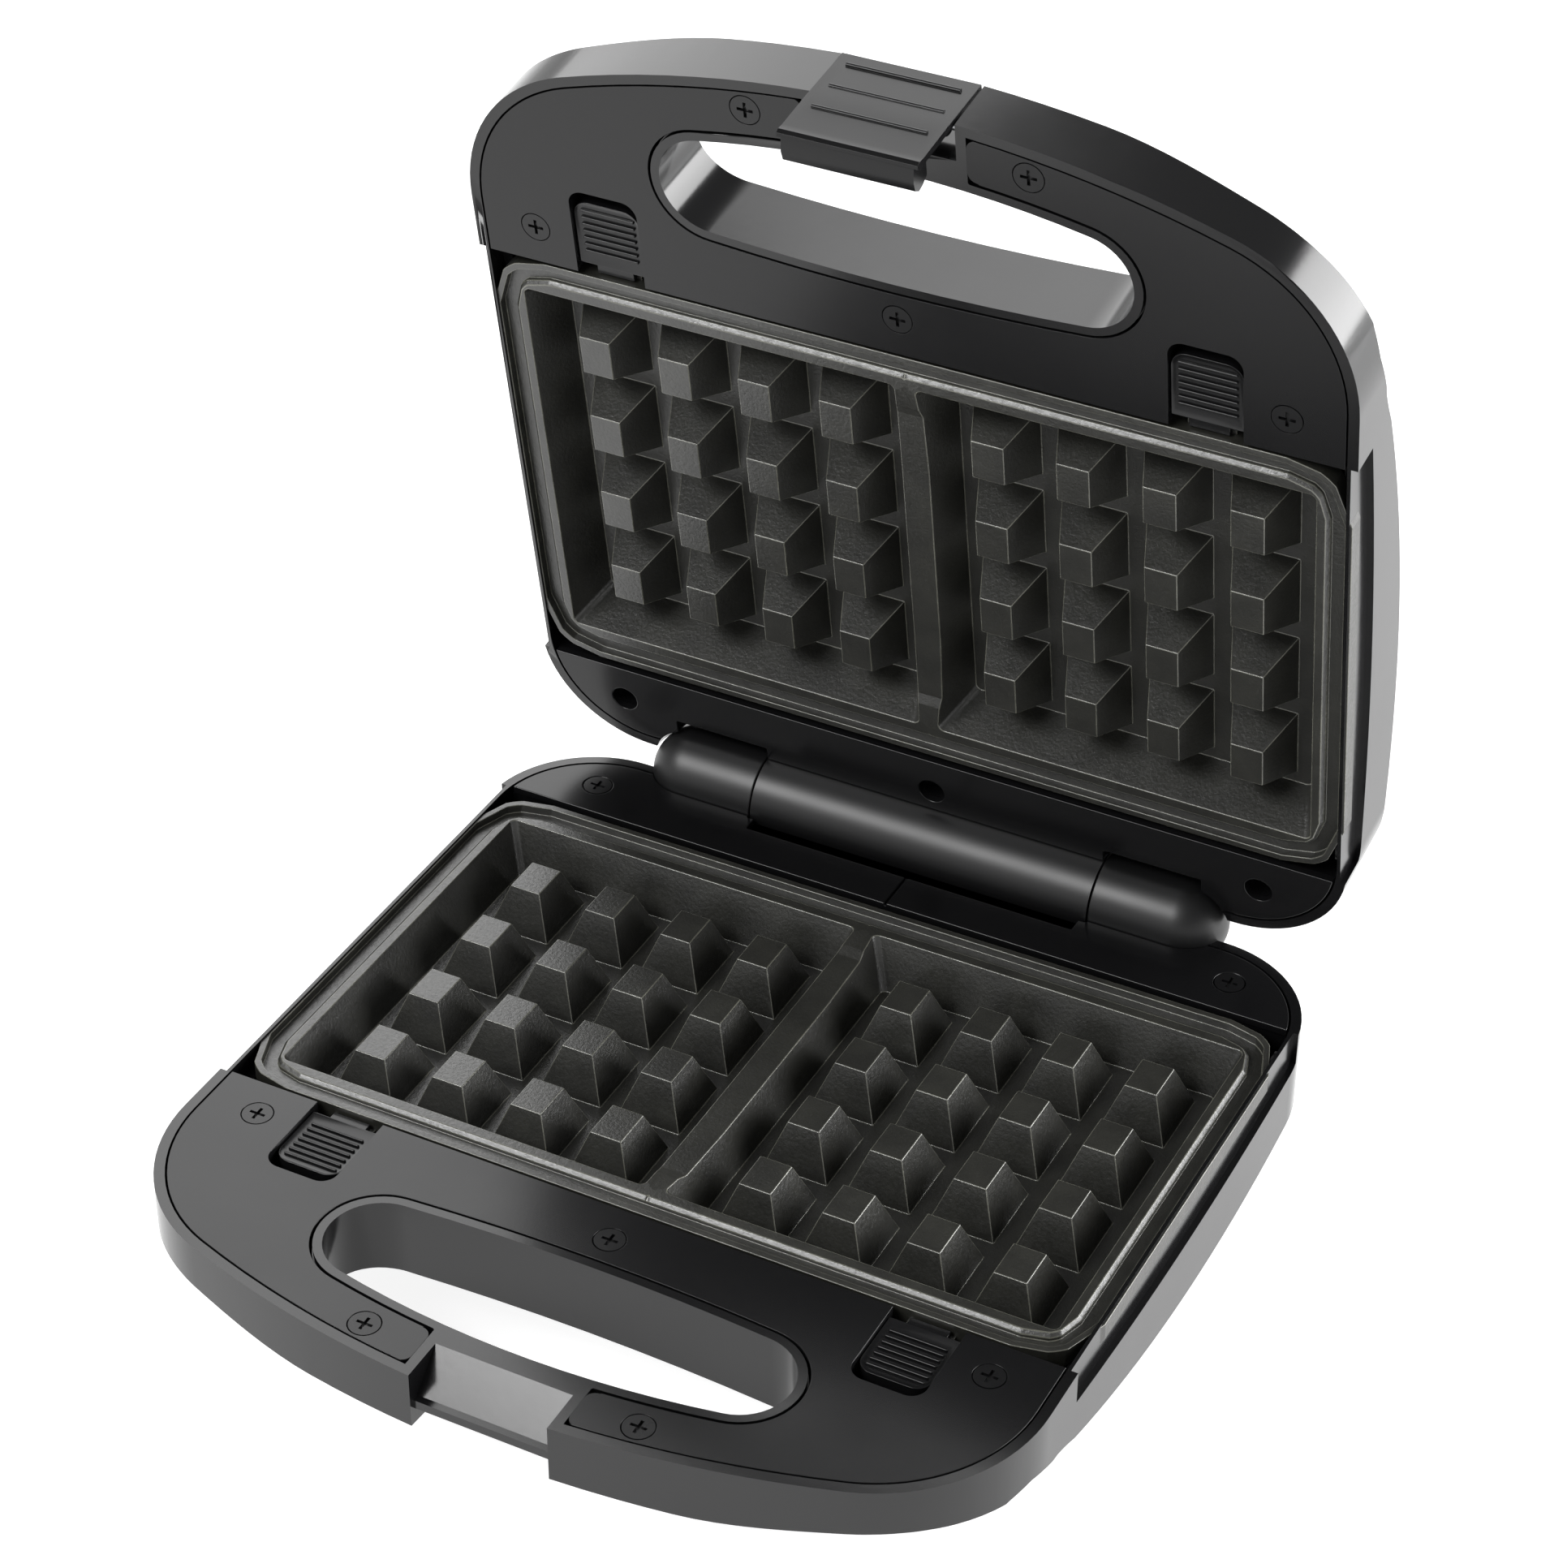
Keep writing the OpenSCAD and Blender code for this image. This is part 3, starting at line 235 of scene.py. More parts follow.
RECIPES = {
    # high-gloss injection-moulded ABS: black, with clear and slightly wavy reflections
    "gloss_abs": lambda: moulded_plastic("Gloss moulded ABS", "#0d0d0e", 0.17, 2.2, 0.006),
    # compression-moulded phenolic: fine grain, reflections soft and weaker than the casing's
    "satin_cover": lambda: moulded_plastic(
        "Satin moulded phenolic", "#0f0f10", 0.22, 0.8, 0.006, ior=1.42),
    # satin ABS: a duller black than the casing
    "satin_abs": lambda: moulded_plastic(
        "Satin moulded ABS", "#0c0c0d", 0.24, 2.2, 0.005, ior=1.36),
    # ABS of the hinge: broad soft highlights along the round mouldings
    "hinge_abs": lambda: moulded_plastic(
        "Polished moulded ABS", "#0c0c0d", 0.4, 2.2, 0.005, ior=1.55),
    # sprayed non-stick coat: warm near-black with a fine grain
    "coating": lambda: non_stick(
        "Non-stick coating on cast aluminium", "#1f1f1c", "#292925", 0.28, 0.4),
    # paler coat for the bevelled edges: a painted highlight along the casting's edges
    "edge_highlight_coating": lambda: non_stick(
        "Non-stick coating with painted edge highlight", "#4c4c45", "#626259", 0.2, 0.3),
    # lacquer over a stamped screw head: black, a little uneven
    "black_screw": lambda: moulded_plastic(
        "Black lacquered steel", "#0f0f10", 0.28, 0.5, 0.01, ior=1.42),
    # bright zinc plate with turning marks
    "steel": lambda: metal("Zinc-plated steel", "#a9abad", 0.3, 0.4, 0.01),
    # drawn stainless tube, browned by heat
    "sheath": lambda: metal("Stainless heater sheath", "#77736c", 0.42, 0.5, 0.01),
    # rolled sheet with a bright coat
    "tray": lambda: metal("Aluminised sheet steel", "#c4c6c8", 0.28, 0.7, 0.008),
    # moulded rubber: dull, with a rough skin
    "rubber": lambda: moulded_plastic("Black rubber", "#1a1a1a", 0.72, 0.6, 0.03, 0.1),
    # pressed and fired ceramic: cream and half matt
    "ceramic": lambda: moulded_plastic("Steatite ceramic", "#cfc7b2", 0.5, 0.8, 0.01),
    # unpainted nylon: milky white
    "nylon": lambda: moulded_plastic("Natural nylon", "#d8d2c0", 0.45, 0.9, 0.01),
    # braided glass sleeve under varnish: off-white with a rough skin
    "sleeve": lambda: moulded_plastic("Varnished glass sleeve", "#dcd8cc", 0.6, 0.5, 0.03),
    # polished coloured plastic of the two lamps
    "red_lens": lambda: moulded_plastic("Red polycarbonate lens", "#8e1410", 0.15, 1.5, 0.004),
    "green_lens": lambda: moulded_plastic(
        "Green polycarbonate lens", "#1d6a2c", 0.15, 1.5, 0.004),
    # pressed paper board: brown and plain
    "board": lambda: moulded_plastic("Phenolic paper board", "#8a5a2a", 0.5, 0.6, 0.01),
}


# ---------------------------------------------------------------- settings

def length(name, about, millimetres):
    """A length property with its default in millimetres."""
    return bpy.props.FloatProperty(
        name=name, description=about, default=millimetres * MM, unit="LENGTH")


class StageSettings(bpy.types.PropertyGroup):
    azimuth: bpy.props.FloatProperty(
        name="Azimuth", description="Direction the camera looks from",
        default=math.radians(27.23), subtype="ANGLE")
    elevation: bpy.props.FloatProperty(
        name="Elevation", description="Height of the camera's view",
        default=math.radians(35.87), subtype="ANGLE")
    roll: bpy.props.FloatProperty(
        name="Roll", description="Tilt of the camera about its view",
        default=math.radians(0.25), subtype="ANGLE")
    distance: bpy.props.FloatProperty(
        name="Distance", description="Camera to the point it looks at",
        default=1.0838, unit="LENGTH")
    focal: bpy.props.FloatProperty(
        name="Focal length", description="Lens on the sensor, in millimetres", default=94.45)
    sensor: bpy.props.FloatProperty(
        name="Sensor", description="Width of the sensor, in millimetres", default=36)
    aim: bpy.props.FloatVectorProperty(
        name="Aim", description="Point that the camera looks at, from the middle of the hinge",
        default=(-0.0479, 0.0078, -0.0026), subtype="XYZ", unit="LENGTH")
    floor_colour: bpy.props.FloatVectorProperty(
        name="Floor colour", description="Colour of the table's sheet", size=4,
        default=rgb("#b4b4b4"), subtype="COLOR", min=0, max=1)
    floor_glow: bpy.props.FloatProperty(
        name="Floor glow", description="Brightness of the back-lit table", default=0.86, min=0)


class EdgeSettings(bpy.types.PropertyGroup):
    casing: length("Casing edges", "Rounding of the casing's edges", 0.8)
    cover: length("Cover edges", "Rounding of the covers' edges", 0.5)
    small: length("Small part edges", "Rounding of the latch, the hinge and the feet", 0.4)


# ---------------------------------------------------------------- stage

FLOOR_RADIUS = 6
FLOOR_GAP = 0.2 * MM  # keeps the floor just clear of the feet
LIGHTS_AIM = (0, 0.02, 0.1)
# name, place, width and height in metres, and power in watts of each soft box
SOFT_BOXES = (
    ("back_box", (-1.05, 1.5, 1.35), (1.7, 1.3), 21),
    ("right_box", (1.5, 0.9, 0.7), (1.5, 1.2), 58),
    ("front_box", (-0.8, -1.25, 1.5), (1.3, 0.7), 34))


class WAFFLE_OT_stage(bpy.types.Operator):
    """Pale flat floor, soft boxes and the camera"""

    bl_idname = "waffle.stage"
    bl_label = "Stage"

    def execute(self, context):
        settings = context.scene.waffle_stage
        make_camera(settings)
        make_floor(settings)
        make_lights()
        return {"FINISHED"}


def make_camera(settings):
    """Puts the camera on its sphere round the aim point."""
    target = HINGE + Vector(settings.aim)
    az, el = settings.azimuth, settings.elevation
    forward = Vector((-math.sin(az) * math.cos(el), math.cos(az) * math.cos(el), -math.sin(el)))
    data = bpy.data.cameras.new("camera")
    data.sensor_fit = "HORIZONTAL"
    data.sensor_width = settings.sensor
    data.lens = settings.focal
    data.clip_end = 20
    camera = bpy.data.objects.new("camera", data)
    bpy.context.scene.collection.objects.link(camera)
    level = forward.to_track_quat("-Z", "Y").to_matrix().to_4x4()
    camera.matrix_world = (
        Matrix.Translation(target - forward * settings.distance) @ level
        @ Matrix.Rotation(settings.roll, 4, "Z"))
    bpy.context.scene.camera = camera


def make_floor(settings):
    """A round sheet of back-lit acrylic: it glows evenly, so that shadows on it are faint."""
    material, tree, shader, place = new_material("Back-lit acrylic table")
    mottle = add_node(tree, "ShaderNodeTexNoise", {"Vector": place, "Scale": 3.0, "Detail": 2.0})
    rough = add_node(tree, "ShaderNodeMapRange", {
        "Value": mottle.outputs["Fac"], "To Min": 0.55, "To Max": 0.7})
    shader.inputs["Base Color"].default_value = settings.floor_colour
    shader.inputs["Emission Color"].default_value = rgb("#ffffff")
    shader.inputs["Emission Strength"].default_value = settings.floor_glow
    tree.links.new(rough.outputs["Result"], shader.inputs["Roughness"])
    bm = bmesh.new()
    bmesh.ops.create_circle(bm, cap_ends=True, segments=96, radius=FLOOR_RADIUS)
    mesh = bpy.data.meshes.new("floor")
    bm.to_mesh(mesh)
    bm.free()
    floor = bpy.data.objects.new("floor", mesh)
    floor.location.z = -FLOOR_GAP
    bpy.context.scene.collection.objects.link(floor)
    mesh.materials.append(material)


def soft_box(name, place, size, power):
    """A rectangular white light that faces the object."""
    data = bpy.data.lights.new(name, "AREA")
    data.shape = "RECTANGLE"
    data.size, data.size_y = size
    data.energy = power
    lamp = bpy.data.objects.new(name, data)
    bpy.context.scene.collection.objects.link(lamp)
    aim = (Vector(LIGHTS_AIM) - Vector(place)).to_track_quat("-Z", "Y")
    lamp.matrix_world = Matrix.Translation(place) @ aim.to_matrix().to_4x4()


def make_lights():
    """Boxes behind on the left, behind on the right and in front on the left, in a pale room."""
    for name, place, size, power in SOFT_BOXES:
        soft_box(name, place, size, power)
    world = bpy.data.worlds.new("studio")
    world.use_nodes = True
    tree = world.node_tree
    # pale walls up to a low height, and a dimmer ceiling
    height = add_node(tree, "ShaderNodeSeparateXYZ", {
        "Vector": add_node(tree, "ShaderNodeTexCoord").outputs["Generated"]})
    light = add_node(tree, "ShaderNodeMapRange", {
        "Value": height.outputs["Z"], "From Min": 0.22, "From Max": 0.4,
        "To Min": 0.85, "To Max": 0.24})
    tree.nodes["Background"].inputs["Color"].default_value = (1, 1, 1, 1)
    tree.links.new(light.outputs["Result"], tree.nodes["Background"].inputs["Strength"])
    bpy.context.scene.world = world
    bpy.context.scene.view_settings.view_transform = "Standard"


# ---------------------------------------------------------------- casing and covers

class WAFFLE_OT_casing(bpy.types.Operator):
    """The two moulded shells"""

    bl_idname = "waffle.casing"
    bl_label = "Casing"

    def execute(self, context):
        width = context.scene.waffle_edges.casing
        for half in HALVES:
            moulded_copy(
                f"{half}_shell", f"{half}_casing", Finish.get("gloss_abs"), width)
        return {"FINISHED"}


class WAFFLE_OT_covers(bpy.types.Operator):
    """The screwed-on covers"""

    bl_idname = "waffle.covers"
    bl_label = "Covers"

    def execute(self, context):
        width = context.scene.waffle_edges.cover
        for half in HALVES:
            for cover in ("front_cover", "rear_cover"):
                node = f"{half}_{cover}"
                moulded_copy(node, f"{node}_plate", Finish.get("satin_cover"), width)
        return {"FINISHED"}


# ---------------------------------------------------------------- waffle plates

def smoothstep(value, low, high):
    """0 up to low, 1 from high, and a soft rise between."""
    t = min(max((value - low) / (high - low), 0.0), 1.0)
    return t * t * (3 - 2 * t)


def stud_centres(s, pitch):
    """Places of the studs in a row, from the pocket's middle."""
    return [(i - (s.studs - 1) / 2) * pitch for i in range(s.studs)]


def grid_lines(edge, centres, half):
    """Lines of the pocket floor along one direction: both edges and both sides of each stud."""
    return [-edge, *(c + side * half for c in centres for side in (-1, 1)), edge]


def pocket_floor(bm, s):
    """Floor of a pocket with its studs, as one grid of quads round the pocket's middle."""
    centres_x, centres_y = stud_centres(s, s.pitch_x), stud_centres(s, s.pitch_y)
    xs = grid_lines(s.floor_l / 2, centres_x, s.top_x / 2 + s.stud_slope)
    ys = grid_lines(s.floor_w / 2, centres_y, s.top_y / 2 + s.stud_slope)
    made = bmesh.ops.create_grid(bm, x_segments=len(xs) - 1, y_segments=len(ys) - 1, size=1)
    for v in made["verts"]:
        column = round((v.co.x + 1) / 2 * (len(xs) - 1))
        row = round((v.co.y + 1) / 2 * (len(ys) - 1))
        v.co = Vector((xs[column], ys[row], -s.floor_drop))
    bm.normal_update()
    stud_faces = []
    for face in bm.faces:
        middle = face.calc_center_median()
        on_x = any(abs(middle.x - c) < 0.5 * MM for c in centres_x)
        on_y = any(abs(middle.y - c) < 0.5 * MM for c in centres_y)
        if on_x and on_y:
            stud_faces.append(face)
    for face in stud_faces:
        tip = bmesh.ops.extrude_discrete_faces(bm, faces=[face])["faces"][0]
        middle = tip.calc_center_median()
        for v in tip.verts:
            v.co.x = middle.x + math.copysign(s.top_x / 2, v.co.x - middle.x)
            v.co.y = middle.y + math.copysign(s.top_y / 2, v.co.y - middle.y)
            v.co.z += s.stud_h


def border_edges(bm):
    """Edges that belong to one face only."""
    return [e for e in bm.edges if e.is_boundary]


def extrude_border(bm, edges, place):
    """Extrudes a chain of border edges, and moves each new point by a function."""
    made = bmesh.ops.extrude_edge_only(bm, edges=edges)["geom"]
    for v in (g for g in made if isinstance(g, bmesh.types.BMVert)):
        v.co = place(v.co.copy())
    return [g for g in made if isinstance(g, bmesh.types.BMEdge) and g.is_boundary]


def pocket_walls(bm, s):
    """Sloping walls up to the bead, with round corners."""
    rise = s.floor_drop - s.bead_drop
    reach = s.wall_slope * rise / s.floor_drop

    def up(co):
        on_x = abs(abs(co.x) - s.floor_l / 2) < NEAR
        on_y = abs(abs(co.y) - s.floor_w / 2) < NEAR
        return Vector((
            co.x + math.copysign(reach, co.x) * on_x,
            co.y + math.copysign(reach, co.y) * on_y, -s.bead_drop))

    top = extrude_border(bm, border_edges(bm), up)
    top_points = {v for e in top for v in e.verts}
    corners = [
        e for e in bm.edges
        if (e.verts[0] in top_points) != (e.verts[1] in top_points)
        and all(abs(abs(v.co.x) - s.floor_l / 2) < reach + 0.1 * MM for v in e.verts)
        and all(abs(abs(v.co.y) - s.floor_w / 2) < reach + 0.1 * MM for v in e.verts)]
    bmesh.ops.bevel(
        bm, geom=corners, offset=s.corner_r, offset_type="OFFSET", segments=7, profile=0.5,
        affect="EDGES", material=-1, clamp_overlap=True)
    return reach


def lower_divider(bm, s, reach):
    """Lowers the wall between the pockets, which curves up to the bead at both ends."""
    end = s.floor_w / 2 + reach
    for v in bm.verts:
        on_rim = abs(v.co.z + s.bead_drop) < NEAR
        if on_rim and v.co.x < -s.floor_l / 2 + 0.5 * MM:
            low = 1 - smoothstep(abs(v.co.y), end - s.ramp_start, end - s.ramp_end)
            drop = (s.divider_drop - s.bead_drop) * low
            v.co.z -= drop
            v.co.x += drop * s.wall_slope / s.floor_drop


def plate_half(s):
    """One pocket and its half of the casting, on the +X side of the plate's middle."""
    bm = bmesh.new()
    pocket_floor(bm, s)
    reach = pocket_walls(bm, s)
    lower_divider(bm, s, reach)
    shift = s.divider_w / 2 + reach + s.floor_l / 2
    bmesh.ops.translate(bm, verts=bm.verts, vec=(shift, 0, 0))
    half_l, half_w = s.length / 2, s.width / 2
    wall_x = s.divider_w / 2 + s.floor_l + 2 * reach
    wall_y = s.floor_w / 2 + reach
    core = Vector((wall_x - s.corner_r, wall_y - s.corner_r))

    def outward(co, inset, z):
        """A point of the outline that lies inset from the plate's edge, beside co."""
        kept = Vector((min(co.x, core.x), max(-core.y, min(co.y, core.y))))
        away = Vector((max(co.x - kept.x, 0), co.y - kept.y))
        grow_x, grow_y = half_l - inset - core.x, half_w - inset - core.y
        if away.length < 0.001 * MM:
            return Vector((0, co.y, z))
        if abs(away.x) < NEAR:
            return Vector((kept.x, kept.y + math.copysign(grow_y, away.y), z))
        if abs(away.y) < NEAR:
            return Vector((kept.x + grow_x, kept.y, z))
        angle = math.atan2(away.y, away.x)
        return Vector((kept.x + grow_x * math.cos(angle), kept.y + grow_y * math.sin(angle), z))

    def bead_top(co):
        """From the pocket's rim to the bead's crest, or to the middle of the divider."""
        inner = Vector((s.divider_w / 2 + s.corner_r, 0))
        end = half_w - s.bead_inset - s.bead_round
        if co.x < inner.x - NEAR and abs(co.y) > core.y + NEAR:
            ray = Vector((co.x - inner.x, abs(co.y) - core.y))
            scale = min(inner.x / -ray.x, (end - core.y) / ray.y)
            flat = Vector((inner.x + ray.x * scale, core.y + ray.y * scale))
            return Vector((max(flat.x, 0), math.copysign(flat.y, co.y), co.z))
        if co.x < inner.x - NEAR:
            return Vector((0, co.y, co.z))
        return outward(co, s.bead_inset + s.bead_round, -s.bead_drop)

    chain = extrude_border(bm, border_edges(bm), bead_top)
    chain = [e for e in chain if not all(v.co.x < NEAR for v in e.verts)]
    # insets from the plate's edge and depths: bead, channel, rim, skirt, hollow, pan
    profile = (
        (s.bead_inset, s.bead_drop + s.bead_round), (s.bead_inset, s.channel_drop),
        (s.rim_w, s.channel_drop), (s.rim_w, s.rim_drop), (0, s.rim_drop),
        (0, s.rim_drop + s.skirt_h), (s.skirt_t, s.rim_drop + s.skirt_h),
        (s.skirt_t, s.channel_drop + s.cast_t), (s.pan_inset, s.channel_drop + s.cast_t),
        (s.pan_inset, s.floor_drop + s.cast_t))
    for inset, drop in profile:
        def ring(co, inset=inset, drop=drop):
            if co.x < NEAR:
                return Vector((0, math.copysign(half_w - inset, co.y), -drop))
            return outward(co, inset, -drop)
        chain = extrude_border(bm, chain, ring)
    return bm


def waffle_plate(s, half):
    """The whole casting: both halves, its flat underside, and its lugs and tabs."""
    bm = plate_half(s)
    geom = bm.verts[:] + bm.edges[:] + bm.faces[:]
    bmesh.ops.mirror(bm, geom=geom, axis="X", merge_dist=2 * NEAR)
    bmesh.ops.remove_doubles(bm, verts=bm.verts, dist=2 * NEAR)
    bmesh.ops.holes_fill(bm, edges=border_edges(bm), sides=0)
    bmesh.ops.recalc_face_normals(bm, faces=bm.faces)
    tongues = (
        (s.lug_x, -s.width / 2, s.lug_w, s.lug_l), (s.tab_x, s.width / 2, s.tab_w, s.tab_l))
    height = -s.rim_drop - s.skirt_h + s.tongue_t / 2
    for side in (-1, 1):
        for x, y, width, depth in tongues:
            size = Matrix.Diagonal((width, depth, s.tongue_t, 1))
            bmesh.ops.create_cube(
                bm, size=1, matrix=Matrix.Translation((side * x, y, height)) @ size)
    bm.transform(HALVES[half] @ Matrix.Translation((0, -s.back - s.width / 2, 0)))
    piece = finish_mesh(bm, f"{half}_grid_plate", Finish.get("coating"), half)
    # second slot: the paler coating that the bevel faces take, a painted highlight along the edges
    piece.data.materials.append(Finish.get("edge_highlight_coating"))
    round_edges(piece, s.edge_r, 3, 30)
    piece.modifiers["Edges"].material = 1
    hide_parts(f"{half}_waffle_plate")


class PlateSettings(bpy.types.PropertyGroup):
    length: length("Length", "Length of a plate along the hinge", 222.2)
    width: length("Width", "Width of a plate from hinge to handle", 128.5)
    back: length("Back", "Distance from the hinge's axis to the plate", 30.8)
    rim_drop: length("Rim depth", "Depth of the rim below the parting plane", 0.7)
    rim_w: length("Rim width", "Width of the rim round the channel", 1.8)
    skirt_h: length("Skirt height", "Height of the skirt below the rim", 4.9)
    skirt_t: length("Skirt wall", "Wall of the skirt", 2.0)
    channel_drop: length("Channel depth", "Depth of the overflow channel", 3.0)
    bead_drop: length("Bead depth", "Depth of the bead's crest", 1.2)
    bead_inset: length("Bead inset", "Distance from the plate's edge to the bead", 5.7)
    bead_round: length("Bead rounding", "Rounding of the bead's outer side", 0.9)
    divider_w: length("Divider width", "Top width of the wall between the pockets", 5.4)
    divider_drop: length("Divider depth", "Depth of the wall between the pockets", 3.8)
    floor_drop: length("Floor depth", "Depth of the pockets' floor", 14.3)
    floor_l: length("Floor length", "Length of a pocket's floor", 90.4)
    floor_w: length("Floor width", "Width of a pocket's floor", 100.5)
    wall_slope: length("Wall slope", "How far a pocket's wall leans over its depth", 5.0)
    corner_r: length("Corner radius", "Radius of a pocket's corners", 6.0)
    studs: bpy.props.IntProperty(
        name="Studs", description="Number of studs along each side of a pocket", default=4, min=1)
    pitch_x: length("Stud pitch X", "Distance between studs along the hinge", 21.75)
    pitch_y: length("Stud pitch Y", "Distance between studs across", 24.72)
    top_x: length("Stud top X", "Size of a stud's top along the hinge", 8.3)
    top_y: length("Stud top Y", "Size of a stud's top across", 11.0)
    stud_slope: length("Stud slope", "How far a stud's side leans over its height", 4.3)
    stud_h: length("Stud height", "Height of a stud", 11.7)
    cast_t: length("Casting", "Thickness of the casting", 2.2)
    pan_inset: length("Pan inset", "Distance from the plate's edge to the pan below", 6.6)
    ramp_start: length("Ramp start", "From a pocket's end to where the divider starts to rise", 13)
    ramp_end: length("Ramp end", "From a pocket's end to where the divider has risen", 3)
    lug_x: length("Lug place", "Distance from the middle to the release lugs", 76)
    lug_w: length("Lug width", "Width of a release lug", 12)
    lug_l: length("Lug length", "Length of a release lug, half of it inside the skirt", 4.4)
    tab_x: length("Tab place", "Distance from the middle to the rear tabs", 70)
    tab_w: length("Tab width", "Width of a rear tab", 14)
    tab_l: length("Tab length", "Length of a rear tab, half of it inside the skirt", 8)
    tongue_t: length("Lug thickness", "Thickness of the lugs and the tabs", 1.6)
    edge_r: length("Edge radius", "Rounding of the casting's edges", 0.45)


class WAFFLE_OT_plates(bpy.types.Operator):
    """The coated waffle plates"""

    bl_idname = "waffle.plates"
    bl_label = "Waffle plates"

    def execute(self, context):
        for half in HALVES:
            waffle_plate(context.scene.waffle_plate, half)
        return {"FINISHED"}


# ---------------------------------------------------------------- release buttons

def add_block(bm, low, high):
    """A box given by two corners."""
    low, high = Vector(low), Vector(high)
    place = Matrix.Translation((low + high) / 2) @ Matrix.Diagonal((*(high - low), 1))
    return bmesh.ops.create_cube(bm, size=1, matrix=place)["verts"]


def release_button(s, half, side, sign):
    """Thumb slide: a rounded body with a raised border on three sides and fine ribs across."""
    bm = bmesh.new()
    w = s.width / 2
    add_block(bm, (-w, s.front, s.bottom), (w, s.back, s.top))
    corners = [
        e for e in bm.edges
        if all(abs(v.co.y - s.front) < NEAR for v in e.verts)
        and abs(e.verts[0].co.x - e.verts[1].co.x) < MM
        and abs(e.verts[0].co.z - e.verts[1].co.z) > MM]
    bmesh.ops.bevel(
        bm, geom=corners, offset=s.corner_r, offset_type="OFFSET", segments=8, profile=0.5,
        affect="EDGES", material=-1, clamp_overlap=True)
    bm.normal_update()
    pad = max(bm.faces, key=lambda f: f.calc_center_median().z)
    bmesh.ops.inset_individual(bm, faces=[pad], thickness=s.border, use_even_offset=True)
    for v in pad.verts:
        if v.co.y > s.back - 2 * s.border:
            v.co.y = s.back - s.foot
        v.co.z -= s.sink
    floor = s.top - s.sink
    reach = w - s.border - s.rib_gap
    rise = s.sink - s.rib_low
    for i in range(s.ribs):
        y = s.front + s.border + s.first_rib + i * s.rib_pitch
        rib = add_block(
            bm, (-reach, y - s.rib_w / 2, floor - rise), (reach, y + s.rib_w / 2, floor + rise))
        for v in rib:
            if v.co.z > floor:
                v.co.y = y + (v.co.y - y) * s.rib_taper
    # tongue over the plate's lug, and the leg that the spring pushes on
    add_block(
        bm, (-s.tongue_w / 2, s.back - MM, s.tongue_top - s.tongue_t),
        (s.tongue_w / 2, s.back + s.tongue_l, s.tongue_top))
    add_block(
        bm, (-s.leg_w / 2, s.front + s.leg_in, s.leg_bottom),
        (s.leg_w / 2, s.front + s.leg_in + s.leg_t, s.leg_top))
    bm.transform(HALVES[half] @ Matrix.Translation((sign * s.place, 0, 0)))
    name = f"{half}_{side}_button"
    piece = finish_mesh(bm, name, Finish.get("satin_cover"), name)
    round_edges(piece, s.edge_r, 2, 30)
    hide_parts(f"{half}_{side}_release")


class ButtonSettings(bpy.types.PropertyGroup):
    place: length("Place", "Distance from the middle to a button", 76)
    width: length("Width", "Width of a button", 17.6)
    front: length("Front", "End nearer the handle, from the hinge's axis", -180.9)
    back: length("Back", "End nearer the plate, from the hinge's axis", -162.8)
    top: length("Top", "Height of a button's border against the parting plane", -1.3)
    bottom: length("Bottom", "Underside of a button against the parting plane", -6.4)
    corner_r: length("Corner radius", "Radius of the corners nearer the handle", 4)
    border: length("Border", "Width of the raised border", 1.5)
    sink: length("Sink", "Depth of the ribbed pad inside the border", 0.7)
    foot: length("Foot", "Plain strip at the plate's side", 2.4)
    first_rib: length("First rib", "Distance from the border to the first rib", 1.3)
    rib_pitch: length("Rib pitch", "Distance between ribs", 1.95)
    rib_w: length("Rib width", "Width of a rib at its root", 1.15)
    rib_taper: bpy.props.FloatProperty(
        name="Rib taper", description="Width of a rib's crest as a share of its root",
        default=0.45, min=0, max=1)
    rib_gap: length("Rib gap", "Gap between a rib's end and the border", 0.15)
    rib_low: length("Rib lowering", "How far the ribs stay below the border", 0.05)
    ribs: bpy.props.IntProperty(
        name="Ribs", description="Number of ribs on a button", default=7, min=1)
    edge_r: length("Edge radius", "Rounding of a button's edges", 0.2)
    tongue_w: length("Tongue width", "Width of the tongue over the plate's lug", 10)
    tongue_l: length("Tongue length", "How far the tongue reaches over the plate", 3)
    tongue_t: length("Tongue thickness", "Thickness of the tongue", 1.5)
    tongue_top: length("Tongue top", "Height of the tongue against the parting plane", -2.3)
    leg_w: length("Leg width", "Width of the leg that the spring pushes on", 7)
    leg_t: length("Leg thickness", "Thickness of the leg", 2.4)
    leg_in: length("Leg inset", "Distance from the button's end to the leg", 0.2)
    leg_top: length("Leg top", "Root of the leg against the parting plane", -6)
    leg_bottom: length("Leg bottom", "Foot of the leg against the parting plane", -13.2)


class WAFFLE_OT_buttons(bpy.types.Operator):
    """The four release buttons"""

    bl_idname = "waffle.buttons"
    bl_label = "Release buttons"

    def execute(self, context):
        for half, sign in (("base", -1), ("lid", 1)):
            release_button(context.scene.waffle_button, half, "left", sign)
            release_button(context.scene.waffle_button, half, "right", -sign)
        return {"FINISHED"}


# ---------------------------------------------------------------- small and inner parts

class WAFFLE_OT_small(bpy.types.Operator):
    """Latch, hinge and feet"""

    bl_idname = "waffle.small_parts"
    bl_label = "Small parts"

    def execute(self, context):
        width = context.scene.waffle_edges.small
        moulded_copy("latch", "latch_lever", Finish.get("satin_abs"), width)
        for node in ("left_knuckle", "right_knuckle", "lid_barrel"):
            moulded_copy(node, f"{node}_moulding", Finish.get("hinge_abs"), width)
        for corner in ("front_left", "front_right", "rear_left", "rear_right"):
            moulded_copy(
                f"{corner}_foot", f"{corner}_pad", Finish.get("rubber"), width)
        return {"FINISHED"}


